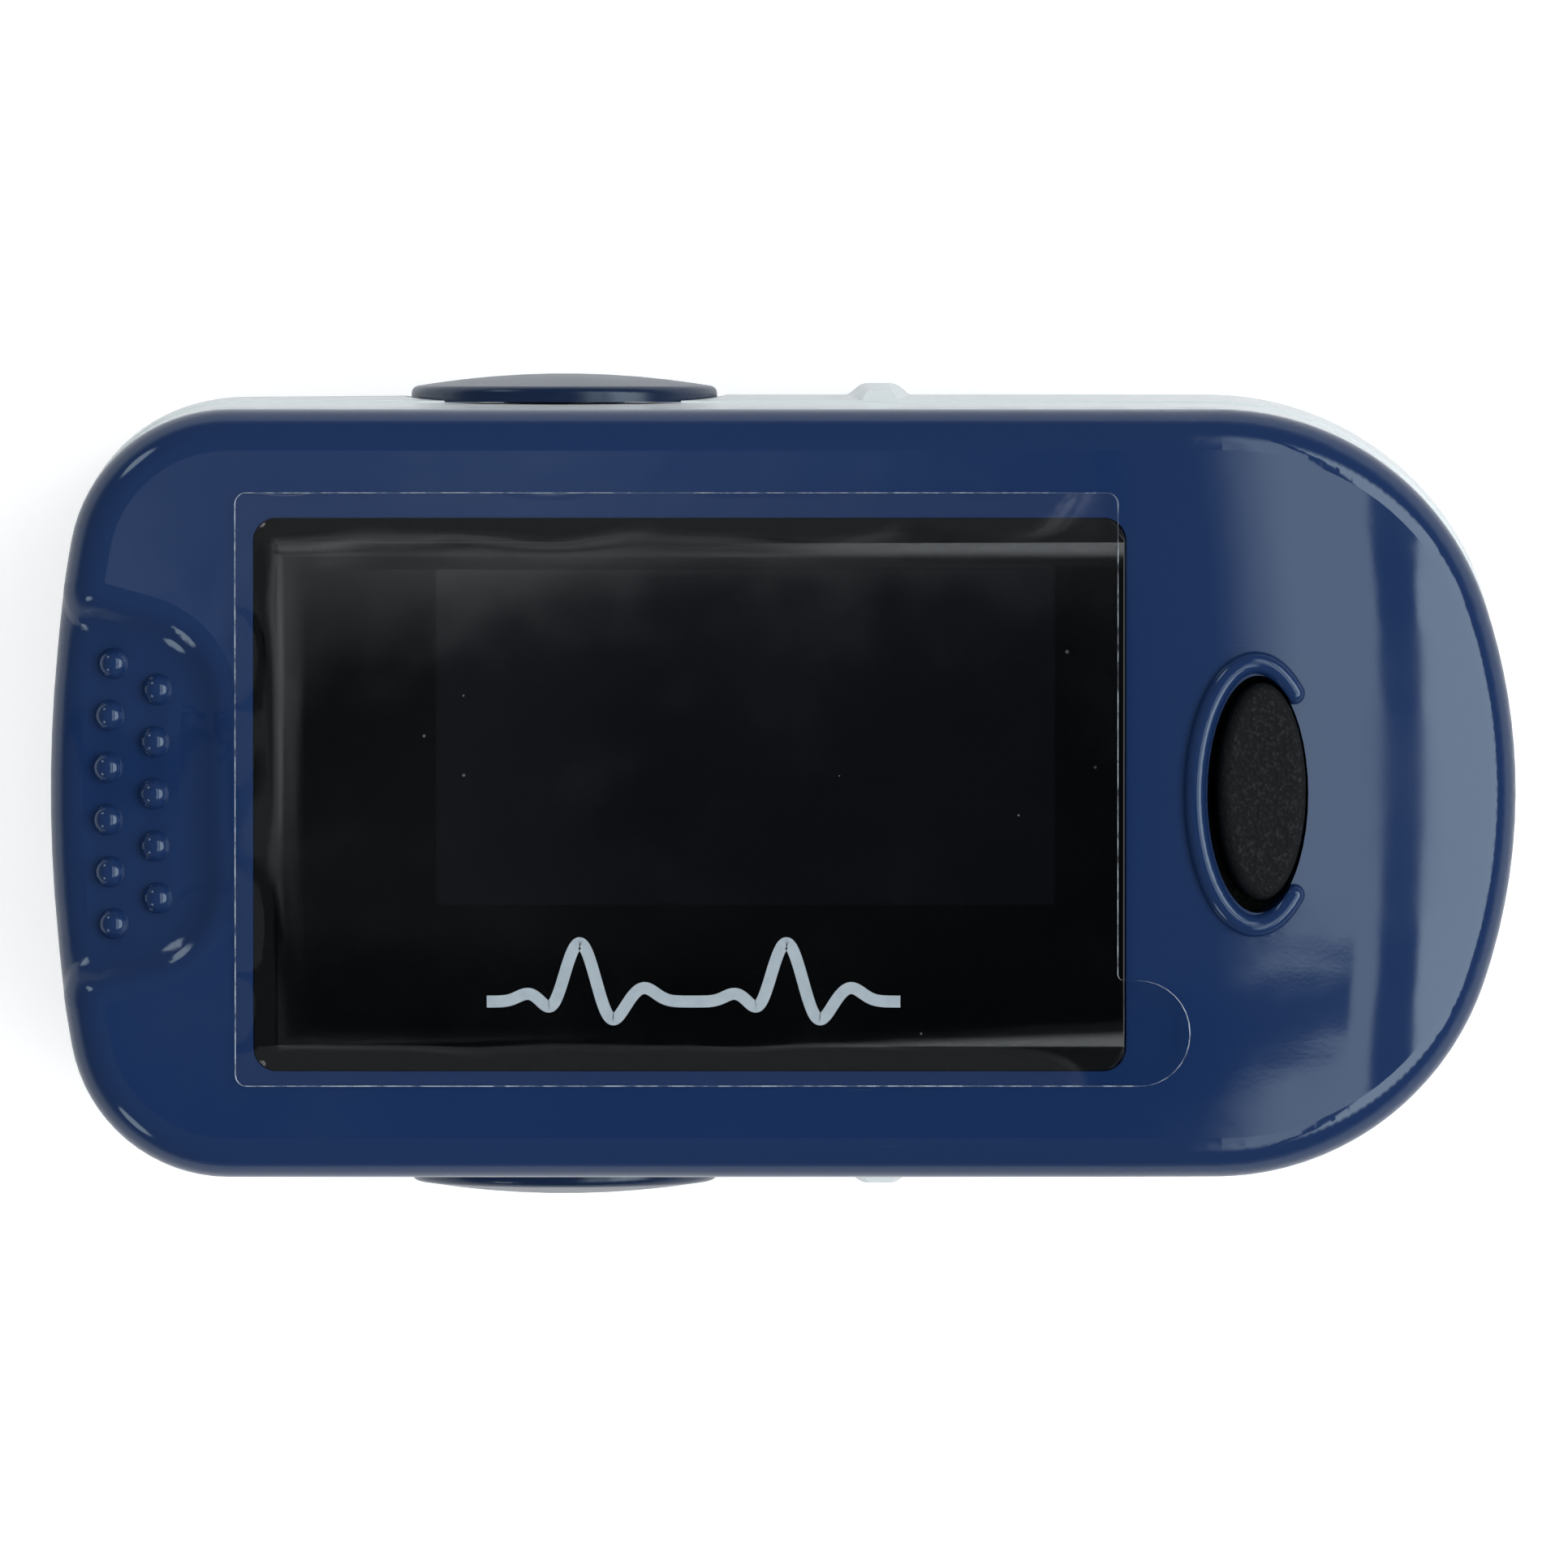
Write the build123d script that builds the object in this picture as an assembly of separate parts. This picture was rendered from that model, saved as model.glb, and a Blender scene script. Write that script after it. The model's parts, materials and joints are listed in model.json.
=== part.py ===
"""Fingertip pulse oximeter, in millimetres.

Frame: +X points out of the finger mouth (the nose), +Y across, +Z up. The origin is the middle of the
base. The lower jaw stands on z = 0 and the upper jaw turns on the hinge shaft, which runs along Y.
"""
from build123d import *
import math
import os

# Plan outline of the shells: a round nose at +X, straight sides and a gently bowed tail at -X.
SHELL_LENGTH = 57.0
SHELL_WIDTH = 29.8
NOSE_R = 22.8
SHOULDER_R = 11.05
TAIL_R = 56.0
CORNER_R = 6.2
WALL = 1.5

# Heights of the four stacked casings.
BOTTOM_SEAM_Z = 7.0
PARTING_Z = 16.0
TOP_SEAM_Z = 25.0
TOP_Z = 31.6
HEIGHT = 32.0
PARTING_GAP = 0.15
FRAME_BULGE = 0.5  # the frames stand this far outside the shells at the parting line
FRAME_STEP_RISE = 4.4  # a fine step runs round each frame this far from the parting line
FRAME_STEP_BULGE = (0.27, 0.2)

# Top surface: flat, then an arc that falls towards the nose. The whole is turned about a vertical
# axis far behind the tail, so the falling part bows across the nose.
SLOPE_START_X = 13.0
SLOPE_R = 41.5
SLOPE_PIVOT_X = -67.0
SLOPE_SECTOR_DEG = 120.0
RIM_R = 1.6
SEAM_CHAMFER = 0.1  # softens the outer edges along the seams
BASE_RIM_R = 2.2

# Hinge.
HINGE_X = -8.7
SHAFT_R = 1.2
SHAFT_HALF = 15.0
RUNNING_GAP = 0.05
LUG_R = 3.0
LOWER_LUG_Y = 9.0
UPPER_LUG_Y = 10.8
LUG_T = 1.4
HALF_OPENING_DEG = 9.5  # each jaw's tail edge leans away from the parting plane by this angle
CAP_R = 6.05
CAP_Y = 15.12
CAP_RIM_Y = 15.7
CAP_CROWN_Y = 16.23
CAP_BOSS_R = 2.4

# Guide ribs on the flanks: the crest stands highest at the parting line.
RIB_X = 3.75
RIB_CREST = (15.85, 15.56)
RIB_FOOT = (15.36, 15.06)
RIB_HALF_WIDTHS = ((0.42, 1.5), (0.38, 0.85))

# Decks that carry the boards and pads.
UPPER_DECK = (23.3, 24.5)
LOWER_DECK = (12.4, 13.4)

# Finger channel.
PAD_BACK_X = -4.0
CHANNEL_BACK_X = -2.5
SENSOR_X = 9.0

# Display window.
LENS_SIZE = (33.7, 21.35)
LENS_X = -3.65
LENS_Z = (30.7, 31.9)
LENS_CORNER_R = 0.9
LENS_BEVEL = (0.28, 0.8)
LENS_GAP = 0.04
FILM_SIZE = (34.2, 23.0)
FILM_CENTRE = (-4.15, 0.2)
FILM_TAB = (2.85, 4.2)
FIT_GAP = 0.1
PANEL_SIZE = (26.7, 19.3)
PANEL_X = -1.55
PANEL_Z = (28.2, 29.7)
BOARD_Z = (25.9, 26.9)

# Power button, on the falling part of the top surface.
BUTTON_X = 18.45
BUTTON_RADII = (1.7, 4.2)
BUTTON_OFFSET = (0.05, 0.12)
BUTTON_HOLE_RADII = (1.98, 4.6)
BUTTON_HOLE_OFFSET = (-0.1, 0.0)
BUTTON_RISE = 0.55
RING_RADII = (2.36, 5.1)
RING_OFFSET = (-0.2, 0.0)
RING_BEAD_R = 0.44
RING_OPEN_DEG = 50.0

# Squeeze grip: a dished recess with staggered domes.
GRIP_DEPTH = 0.55
GRIP_FRONT_X = -21.2
GRIP_HALF_Y = 7.5
GRIP_CORNER_R = 4.2
GRIP_WALL_R = 2.6
GRIP_LIP_R = 1.5
GRIP_EXIT_R = 1.5
GRIP_SLOPE_DEG = 8.0
DOME_R = 0.62
DOME_PITCH = 2.02
DOME_COLUMNS = ((-26.2, 6), (-24.4, 5))

# Battery bay.
CELL_R = 5.25
CELL_Y = 5.45
CELL_Z = 6.95
CELL_LENGTH = 44.5
BAY_X = (-25.4, 21.4)
DOOR_X = 21.5
DOOR_HALF_Y = 11.3
DOOR_GAP = 0.12

FAR = 40.0
NOSE_CX = SHELL_LENGTH / 2 - NOSE_R
TAIL_CX = -SHELL_LENGTH / 2 + TAIL_R
SHOULDER_CY = SHELL_WIDTH / 2 - SHOULDER_R
CORNER_CY = SHELL_WIDTH / 2 - CORNER_R
SHOULDER_CX = NOSE_CX + math.sqrt((NOSE_R - SHOULDER_R) ** 2 - SHOULDER_CY**2)
CORNER_CX = TAIL_CX - math.sqrt((TAIL_R - CORNER_R) ** 2 - CORNER_CY**2)


def outline(inset, z=0.0):
    """Plan face at height z, drawn parallel to the shell outline and inset from it."""
    lean = math.degrees(math.atan2(SHOULDER_CY, SHOULDER_CX - NOSE_CX))
    turn = math.degrees(math.atan2(CORNER_CY, CORNER_CX - TAIL_CX))
    half = SHELL_WIDTH / 2 - inset
    arcs = [
        CenterArc((NOSE_CX, 0), NOSE_R - inset, -lean, 2 * lean),
        CenterArc((SHOULDER_CX, SHOULDER_CY), SHOULDER_R - inset, lean, 90 - lean),
        Line((SHOULDER_CX, half), (CORNER_CX, half)),
        CenterArc((CORNER_CX, CORNER_CY), CORNER_R - inset, 90, turn - 90),
        CenterArc((TAIL_CX, 0), TAIL_R - inset, turn, 360 - 2 * turn),
        CenterArc((CORNER_CX, -CORNER_CY), CORNER_R - inset, -turn, turn - 90),
        Line((CORNER_CX, -half), (SHOULDER_CX, -half)),
        CenterArc((SHOULDER_CX, -SHOULDER_CY), SHOULDER_R - inset, -90, 90 - lean),
    ]
    return Pos(0, 0, z) * make_face(arcs)


def slab(inset, z_low, z_high):
    """Straight-walled solid on the plan outline."""
    return extrude(outline(inset, z_low), amount=z_high - z_low)


def ring(inset_out, inset_in, z_low, z_high):
    """Wall that follows the plan outline."""
    return slab(inset_out, z_low, z_high) - slab(inset_in, z_low - 1, z_high + 1)


def ease(solid, z):
    """The solid with its outer edges at height z chamfered."""
    level = []
    for edge in solid.edges():
        box = edge.bounding_box()
        if abs(box.min.Z - z) < 0.01 and abs(box.max.Z - z) < 0.01:
            level.append(edge)
    return chamfer(level, SEAM_CHAMFER)


def block(x, y, z):
    """Box between two limits on each axis."""
    size = [hi - lo for lo, hi in (x, y, z)]
    return Pos(*[(lo + hi) / 2 for lo, hi in (x, y, z)]) * Box(*size)


def both_sides(shape):
    """The shape and its mirror image across the XZ plane."""
    return shape + mirror(shape, about=Plane.XZ)


def side_prism(points, y_low=-FAR, y_high=FAR):
    """XZ polygon carried along Y."""
    face = Plane((0, y_high, 0), x_dir=(1, 0, 0), z_dir=(0, -1, 0)) * make_face(Polyline(*points, close=True))
    return extrude(face, amount=y_high - y_low)


def rod_y(radius, x, z, y_low, y_high):
    """Round bar along Y."""
    return Pos(x, (y_low + y_high) / 2, z) * Rot(90, 0, 0) * Cylinder(radius, y_high - y_low)


def rod_z(radius, x, y, z_low, z_high):
    """Round bar along Z."""
    return Pos(x, y, (z_low + z_high) / 2) * Cylinder(radius, z_high - z_low)


def rounded_plate(size, corner_r, x, z_low, z_high):
    """Rectangular plate with round corners, centred on y = 0."""
    face = Pos(x, 0, z_low) * RectangleRounded(*size, corner_r)
    return extrude(face, amount=z_high - z_low)


def surface_z(x):
    """Height of the top surface at x, along y = 0."""
    past = max(0.0, x - SLOPE_START_X)
    return TOP_Z - SLOPE_R + math.sqrt(SLOPE_R**2 - past**2)


def under_top_surface(drop):
    """Everything below the top surface, lowered by drop."""
    centre_z = TOP_Z - SLOPE_R
    fall = math.degrees(math.asin((FAR - SLOPE_START_X) / SLOPE_R))
    start = (SLOPE_PIVOT_X, TOP_Z - drop)
    slope = CenterArc((SLOPE_START_X, centre_z), SLOPE_R - drop, 90, -fall)
    flat = Line(start, slope @ 0)
    right = Line(slope @ 1, ((slope @ 1).X, 0))
    floor = Line(right @ 1, (SLOPE_PIVOT_X, 0))
    left = Line(floor @ 1, start)
    section = Plane.XZ * make_face([flat, slope, right, floor, left])
    axis = Axis((SLOPE_PIVOT_X, 0, 0), (0, 0, 1))
    pivot = Pos(SLOPE_PIVOT_X, 0, 0)
    sector = revolve(section, axis, revolution_arc=SLOPE_SECTOR_DEG)
    return pivot * Rot(0, 0, -SLOPE_SECTOR_DEG / 2) * pivot.inverse() * sector


def button_place(offset, height=0.0):
    """Location on the top surface under the button, with local +Z along its normal."""
    tilt = math.degrees(math.asin((BUTTON_X - SLOPE_START_X) / SLOPE_R))
    return Location((BUTTON_X, 0, surface_z(BUTTON_X)), (0, tilt, 0)) * Pos(*offset, height)


def oval(radii, offset, z_low, z_high):
    """Elliptical bar along the button's axis, between two local heights."""
    return button_place(offset, z_low) * extrude(Ellipse(*radii), amount=z_high - z_low)


def grip_floor_z(x, y=0.0):
    """Height of the grip recess's floor, which slopes down towards the tail and follows its bow."""
    reach = GRIP_FRONT_X - (TAIL_CX - math.hypot(TAIL_CX - x, y))
    return TOP_Z - GRIP_DEPTH - reach * math.tan(math.radians(GRIP_SLOPE_DEG))


def grip_section():
    """XZ section of the recess: the sloping floor, then a tangent arc on to the tail wall."""
    tail = -SHELL_LENGTH / 2
    slope = math.radians(GRIP_SLOPE_DEG)
    crossing_z = grip_floor_z(tail)
    run = GRIP_EXIT_R * math.tan(math.pi / 4 - slope / 2)
    centre = (tail + GRIP_EXIT_R, crossing_z - run)
    front = (GRIP_FRONT_X, grip_floor_z(GRIP_FRONT_X))
    turn_start = 90 + GRIP_SLOPE_DEG
    roll = CenterArc(centre, GRIP_EXIT_R, turn_start, 180 - turn_start)
    floor = Line(front, roll @ 0)
    outside = Polyline(
        roll @ 1,
        (tail, centre[1] - 1.5),
        (tail - 3, centre[1] - 1.5),
        (tail - 3, TOP_Z + 6),
        (GRIP_FRONT_X, TOP_Z + 6),
        front,
    )
    return Plane.XZ * make_face([floor, roll, outside])


def grip_recess():
    """Tool that dishes the squeeze grip: the section turned about the tail's centre, with round corners."""
    half_angle = math.degrees(math.asin(GRIP_HALF_Y / (TAIL_CX - GRIP_FRONT_X + 4)))
    pivot = Pos(TAIL_CX, 0, 0)
    sector = revolve(grip_section(), Axis((TAIL_CX, 0, 0), (0, 0, 1)), revolution_arc=2 * half_angle)
    sector = pivot * Rot(0, 0, -half_angle) * pivot.inverse() * sector
    front_corners = sector.edges().filter_by(Axis.Z).group_by(Axis.X)[-1]
    sector = fillet(front_corners, GRIP_CORNER_R)
    foot = []
    for edge in sector.edges():
        middle = edge @ 0.5
        level = abs((edge % 0.5).Z) < 0.99 and edge.bounding_box().max.Z < TOP_Z + 3
        inside = middle.X > -SHELL_LENGTH / 2 - 0.5
        if level and inside and not (abs(middle.Y) < 0.01 and middle.X < GRIP_FRONT_X - 3):
            foot.append(edge)
    return fillet(foot, GRIP_WALL_R)


def soft_lip(shell):
    """The shell with the upper lip of its grip recess rounded."""
    lip = []
    for edge in shell.edges():
        middle = edge @ 0.5
        at_top = edge.bounding_box().max.Z > TOP_Z - 0.01
        if at_top and middle.X < GRIP_FRONT_X + 1 and abs(middle.Y) < GRIP_HALF_Y + 0.1:
            lip.append(edge)
    return fillet(lip, GRIP_LIP_R)


def grip_domes():
    """Two staggered columns of small domes that follow the bow of the tail."""
    domes = []
    for column_x, count in DOME_COLUMNS:
        for i in range(count):
            y = (i - (count - 1) / 2) * DOME_PITCH
            x = column_x + y**2 / (2 * TAIL_R)
            domes.append(Pos(x, y, grip_floor_z(x, y) - 0.1) * Sphere(DOME_R))
    return domes


def button_ring():
    """Half-round bead around the button, open towards the nose, with round ends."""
    turn = 360 - 2 * RING_OPEN_DEG
    path = EllipticalCenterArc((0, 0), *RING_RADII, start_angle=RING_OPEN_DEG, arc_size=turn)
    bead = sweep(Plane(origin=path @ 0, z_dir=path % 0) * Circle(RING_BEAD_R), path=path)
    for end in (0, 1):
        bead += Pos(*(path @ end)) * Sphere(RING_BEAD_R)
    return button_place(RING_OFFSET, -0.06) * bead


TOP_SCREWS = ((24.0, 6.5), (24.0, -6.5), (-22.5, 10.3), (-22.5, -10.3))
BASE_SCREWS = ((24.2, 5.5), (24.2, -5.5))
SCREW_HEAD = (1.4, 0.8)
SCREW_SHANK_R = 0.75
SCREW_BOSS_R = 1.75


def screw(x, y, head_z, direction, length):
    """Pan-head self-tapping screw with a cross slot; direction is +1 where the tip points up."""
    head_r, head_h = SCREW_HEAD
    body = rod_z(head_r, x, y, 0, head_h)
    body = fillet(body.edges().sort_by(Axis.Z)[0], 0.35)
    body += rod_z(SCREW_SHANK_R, x, y, head_h, head_h + length)
    body = chamfer(body.edges().sort_by(Axis.Z)[-1], 0.4)
    for turn in (0, 90):
        body -= Pos(x, y, 0) * Rot(0, 0, turn) * Box(1.5, 0.32, 0.9)
    flip = Rot(0, 0, 0) if direction > 0 else Pos(0, 2 * y, 0) * Rot(180, 0, 0)
    return Pos(0, 0, head_z) * flip * body


def top_shell():
    shell = ease(slab(0, TOP_SEAM_Z, FAR) & under_top_surface(0), TOP_SEAM_Z)
    rim = []
    for edge in shell.edges():
        middle = edge @ 0.5
        across_top = abs(middle.Y) < 0.01 and abs(middle.X - SLOPE_START_X) < 0.5
        if middle.Z > TOP_SEAM_Z + 2 and abs((edge % 0.5).Z) < 0.9 and not across_top:
            rim.append(edge)
    shell = soft_lip(fillet(rim, RIM_R) - grip_recess())
    cavity = slab(WALL, TOP_SEAM_Z - 1, FAR) & under_top_surface(WALL)
    cavity -= block((-FAR, GRIP_FRONT_X + WALL), (-GRIP_HALF_Y - WALL, GRIP_HALF_Y + WALL), (28.4, FAR))
    shell -= cavity
    for x, y in TOP_SCREWS:
        boss = rod_z(SCREW_BOSS_R, x, y, UPPER_DECK[1], FAR) & under_top_surface(0.5)
        shell += boss - rod_z(SCREW_SHANK_R, x, y, UPPER_DECK[1] - 1, 28.2)
    for dome in grip_domes():
        shell += dome
    window = [s + 2 * LENS_GAP for s in LENS_SIZE]
    ledge = [s - 2.2 for s in LENS_SIZE]
    shell -= rounded_plate(window, LENS_CORNER_R, LENS_X, LENS_Z[0], FAR)
    shell -= rounded_plate(ledge, LENS_CORNER_R, LENS_X, TOP_SEAM_Z, FAR)
    shell += button_ring()
    shell -= oval(BUTTON_HOLE_RADII, BUTTON_HOLE_OFFSET, -4, 4)
    return shell


def display_lens():
    lens = rounded_plate(LENS_SIZE, LENS_CORNER_R, LENS_X, *LENS_Z)
    top = lens.faces().sort_by(Axis.Z)[-1]
    drop, width = LENS_BEVEL
    return chamfer(top.edges(), width, drop, reference=top)


def screen_film():
    """Peel-off film with a round pull tab at its nose-side corner."""
    low, high = LENS_Z[1], HEIGHT
    length, width = FILM_SIZE
    reach, tab_width = FILM_TAB
    film = rounded_plate(FILM_SIZE, 0.45, 0, low, high)
    tab = block((length / 2 - 2, length / 2 + reach), (-width / 2, tab_width - width / 2), (low, high))
    tab = fillet(tab.edges().filter_by(Axis.Z).group_by(Axis.X)[-1], tab_width / 2 - 0.05)
    return Pos(*FILM_CENTRE, 0) * Rot(0, 0, -0.3) * (film + tab)


def display_panel():
    """Glass display module with its driver ledge at the -Y side."""
    glass = rounded_plate(PANEL_SIZE, 0.3, PANEL_X, PANEL_Z[0], PANEL_Z[1] - 0.7)
    cover = Pos(0, 1.3, 0) * rounded_plate((PANEL_SIZE[0], PANEL_SIZE[1] - 2.6), 0.3, PANEL_X, *PANEL_Z)
    return glass + cover


def display_gasket():
    """Foam frame between the main board and the display module."""
    frame = rounded_plate(PANEL_SIZE, 0.3, PANEL_X, BOARD_Z[1], PANEL_Z[0])
    return frame - rounded_plate([s - 4.0 for s in PANEL_SIZE], 0.3, PANEL_X, 20, FAR)


def display_ribbon():
    """Flat cable that folds from the display ledge down to the main board."""
    thickness, width = 0.14, 10.0
    edge_y = -PANEL_SIZE[1] / 2
    out_y = edge_y - 1.4
    high_z = PANEL_Z[0] + 0.4
    low_z = BOARD_Z[1] + thickness / 2
    corners = [(edge_y, high_z), (out_y, high_z), (out_y, low_z), (edge_y - 0.1, low_z)]
    path = FilletPolyline(*corners, radius=0.55)
    strip = trace([path], thickness)
    plane = Plane((PANEL_X - width / 2, 0, 0), x_dir=(0, 1, 0), z_dir=(1, 0, 0))
    return plane * extrude(strip, amount=width)


def main_board():
    board = slab(2.8, *BOARD_Z) & block((-20, 21.6), (-FAR, FAR), (0, FAR))
    board -= block((-14.3, -11.0), (-3.6, 3.6), (20, FAR))
    return board


def board_chips():
    """Processor, amplifier and passives on the underside of the main board."""
    top = BOARD_Z[0]
    chips = block((-4, 3), (-3.5, 3.5), (top - 0.9, top))
    chips += block((8, 12), (-2, 3), (top - 0.8, top))
    chips += block((-18, -16), (-6, -4), (top - 0.7, top))
    for i in range(4):
        chips += block((4.7, 5.6), (-5 + 2.4 * i, -4.4 + 2.4 * i), (top - 0.5, top))
        chips += block((-9 + 1.8 * i, -8 + 1.8 * i), (6, 6.6), (top - 0.5, top))
    return chips


def tact_switch():
    body = block((BUTTON_X - 2.65, BUTTON_X + 1.85), (-2.25, 2.25), (BOARD_Z[1], BOARD_Z[1] + 0.65))
    return body + rod_z(0.9, BUTTON_X - 0.4, 0, BOARD_Z[1] + 0.6, BOARD_Z[1] + 0.8)


def power_button():
    """Soft oval key with a retaining flange under the shell and a stem over the switch."""
    key = oval(BUTTON_RADII, BUTTON_OFFSET, -1.8, BUTTON_RISE)
    key = fillet(key.edges().sort_by(Axis.Z)[-1], 0.35)
    key += oval([r + 0.8 for r in BUTTON_RADII], BUTTON_OFFSET, -2.45, -1.75)
    return key + button_place(BUTTON_OFFSET, -2.95) * extrude(Circle(1.0), amount=1.0)


def tail_side(z_shift, sign):
    """XZ corner points of the leaning tail edge, out to far behind the tail."""
    rise = (FAR + HINGE_X) * math.tan(math.radians(HALF_OPENING_DEG))
    return [(HINGE_X, PARTING_Z + sign * z_shift), (-FAR, PARTING_Z + sign * (z_shift + rise))]


def jaw_side(sign):
    """Everything on the far side of a jaw's parting edge: sign +1 is the tool for the upper jaw."""
    hinge, tail = tail_side(PARTING_GAP, sign)
    away = PARTING_Z - sign * FAR
    return side_prism([hinge, tail, (-FAR, away), (FAR, away), (FAR, hinge[1])])


def tail_skin(sign):
    """Sloping inner skin that closes a jaw along the squeeze gap."""
    (x0, z0), (x1, z1) = tail_side(PARTING_GAP, sign)
    front = HINGE_X - 10
    z_front = z0 + (z1 - z0) * (front - x0) / (x1 - x0)
    skin = side_prism([(front, z_front), (x1, z1), (x1, z1 + sign * 1.2), (front, z_front + sign * 1.2)])
    return skin & slab(WALL - 0.3, 0, FAR)


def finger_channel(sign, grow=0.0):
    """Half of the finger channel, flared towards the mouth: sign +1 is the upper half."""
    radii = ((6.7, 4.9), (8.0, 6.0)) if sign > 0 else ((6.7, 1.5), (8.0, 2.1))
    ends = []
    for x, (y_radius, z_radius) in zip((CHANNEL_BACK_X, SHELL_LENGTH / 2 + 1), radii):
        plane = Plane((x, 0, PARTING_Z), x_dir=(0, 1, 0), z_dir=(1, 0, 0))
        ends.append(plane * Ellipse(y_radius + grow, z_radius + grow))
    return loft(ends)


def lug(y, neck_z, bore_r):
    """Pair of hinge eyes with necks that run to neck_z."""
    eye = rod_y(LUG_R, HINGE_X, PARTING_Z, y, y + LUG_T)
    low, high = sorted((PARTING_Z, neck_z))
    eye += block((HINGE_X - LUG_R, HINGE_X + LUG_R), (y, y + LUG_T), (low, high))
    return both_sides(eye - rod_y(bore_r, HINGE_X, PARTING_Z, 0, FAR))


def guide_rib(sign):
    """Bell-shaped rib on each flank of a jaw: sign +1 stands on the upper jaw."""
    sections = []
    for i, rise in enumerate((PARTING_GAP, FRAME_STEP_RISE)):
        crest, foot = RIB_CREST[i], RIB_FOOT[i]
        top, base = RIB_HALF_WIDTHS[i]
        bend = (top + base) / 2
        left = Bezier((-base, foot), (-bend, foot), (-bend, crest), (-top, crest))
        right = Bezier((top, crest), (bend, crest), (bend, foot), (base, foot))
        back = Polyline((base, foot), (base, foot - 1.0), (-base, foot - 1.0), (-base, foot))
        bell = make_face([left, Line((-top, crest), (top, crest)), right, back])
        sections.append(Pos(RIB_X, 0, PARTING_Z + sign * rise) * bell)
    return both_sides(loft(sections, ruled=True))


def frame_body(sign):
    """Solid frame of a jaw, bulging towards the parting line in two drafts with a fine step between."""
    seam = TOP_SEAM_Z if sign > 0 else BOTTOM_SEAM_Z
    step_z = PARTING_Z + sign * FRAME_STEP_RISE
    wide, narrow = FRAME_STEP_BULGE
    near = loft([outline(-FRAME_BULGE, PARTING_Z + sign * PARTING_GAP), outline(-wide, step_z)])
    far = loft([outline(-narrow, step_z), outline(0, seam)])
    return ease(near, PARTING_Z + sign * PARTING_GAP) + ease(far, seam)


def cap_recess():
    """Flat round landings for the hinge caps, with room for their bosses."""
    landing = rod_y(CAP_R + 0.35, HINGE_X, PARTING_Z, CAP_Y - 0.07, FAR)
    return both_sides(landing + rod_y(CAP_BOSS_R + 0.25, HINGE_X, PARTING_Z, 13.2, FAR))


def upper_frame():
    """Light frame that carries the main board above and the finger pad below."""
    frame = frame_body(1)
    frame -= slab(WALL, 0, UPPER_DECK[0]) + slab(WALL, UPPER_DECK[1], FAR)
    frame += ring(1.6, 2.5, UPPER_DECK[1], TOP_SEAM_Z + 1.0)
    frame -= finger_channel(1, 0.9)
    frame -= jaw_side(1)
    frame += tail_skin(1)
    frame += lug(UPPER_LUG_Y, UPPER_DECK[0] + 0.2, SHAFT_R + RUNNING_GAP)
    frame += guide_rib(1)
    frame -= cap_recess()
    frame -= block((-14.3, -12.9), (-3.6, 3.6), (20, FAR))
    frame -= block((SENSOR_X - 3, SENSOR_X + 3), (-3, 3), (20, FAR))
    for x, y in TOP_SCREWS:
        frame -= rod_z(SCREW_SHANK_R + 0.1, x, y, 20, FAR)
        frame -= rod_z(SCREW_HEAD[0] + 0.15, x, y, 20, UPPER_DECK[0] + SCREW_HEAD[1])
        frame -= rod_z(SCREW_BOSS_R + 0.1, x, y, UPPER_DECK[1], FAR)
    for x in (-17, 15):
        frame += both_sides(rod_z(1.0, x, 9, UPPER_DECK[1] - 0.1, BOARD_Z[0]))
    return frame


def upper_finger_pad():
    """Soft arched pad that fills the front of the upper jaw."""
    pad = slab(WALL + FIT_GAP, PARTING_Z + PARTING_GAP + 0.15, UPPER_DECK[0])
    pad &= block((PAD_BACK_X, FAR), (-FAR, FAR), (0, FAR))
    pad -= finger_channel(1)
    return pad - block((SENSOR_X - 3, SENSOR_X + 3), (-3, 3), (17, FAR))


def led_window():
    """Clear plate in the roof of the finger channel."""
    return block((SENSOR_X - 3, SENSOR_X + 3), (-3, 3), (21.6, 22.3))


def led_emitter():
    """Red and infrared emitter on its small carrier."""
    carrier = block((SENSOR_X - 2.9, SENSOR_X + 2.9), (-2.9, 2.9), (23.1, 23.9))
    return carrier + block((SENSOR_X - 1.6, SENSOR_X + 1.6), (-1.4, 1.4), (22.4, 23.2))


def top_screws():
    parts = [screw(x, y, UPPER_DECK[0], 1, 4.0) for x, y in TOP_SCREWS]
    return Compound(children=parts)


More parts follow.
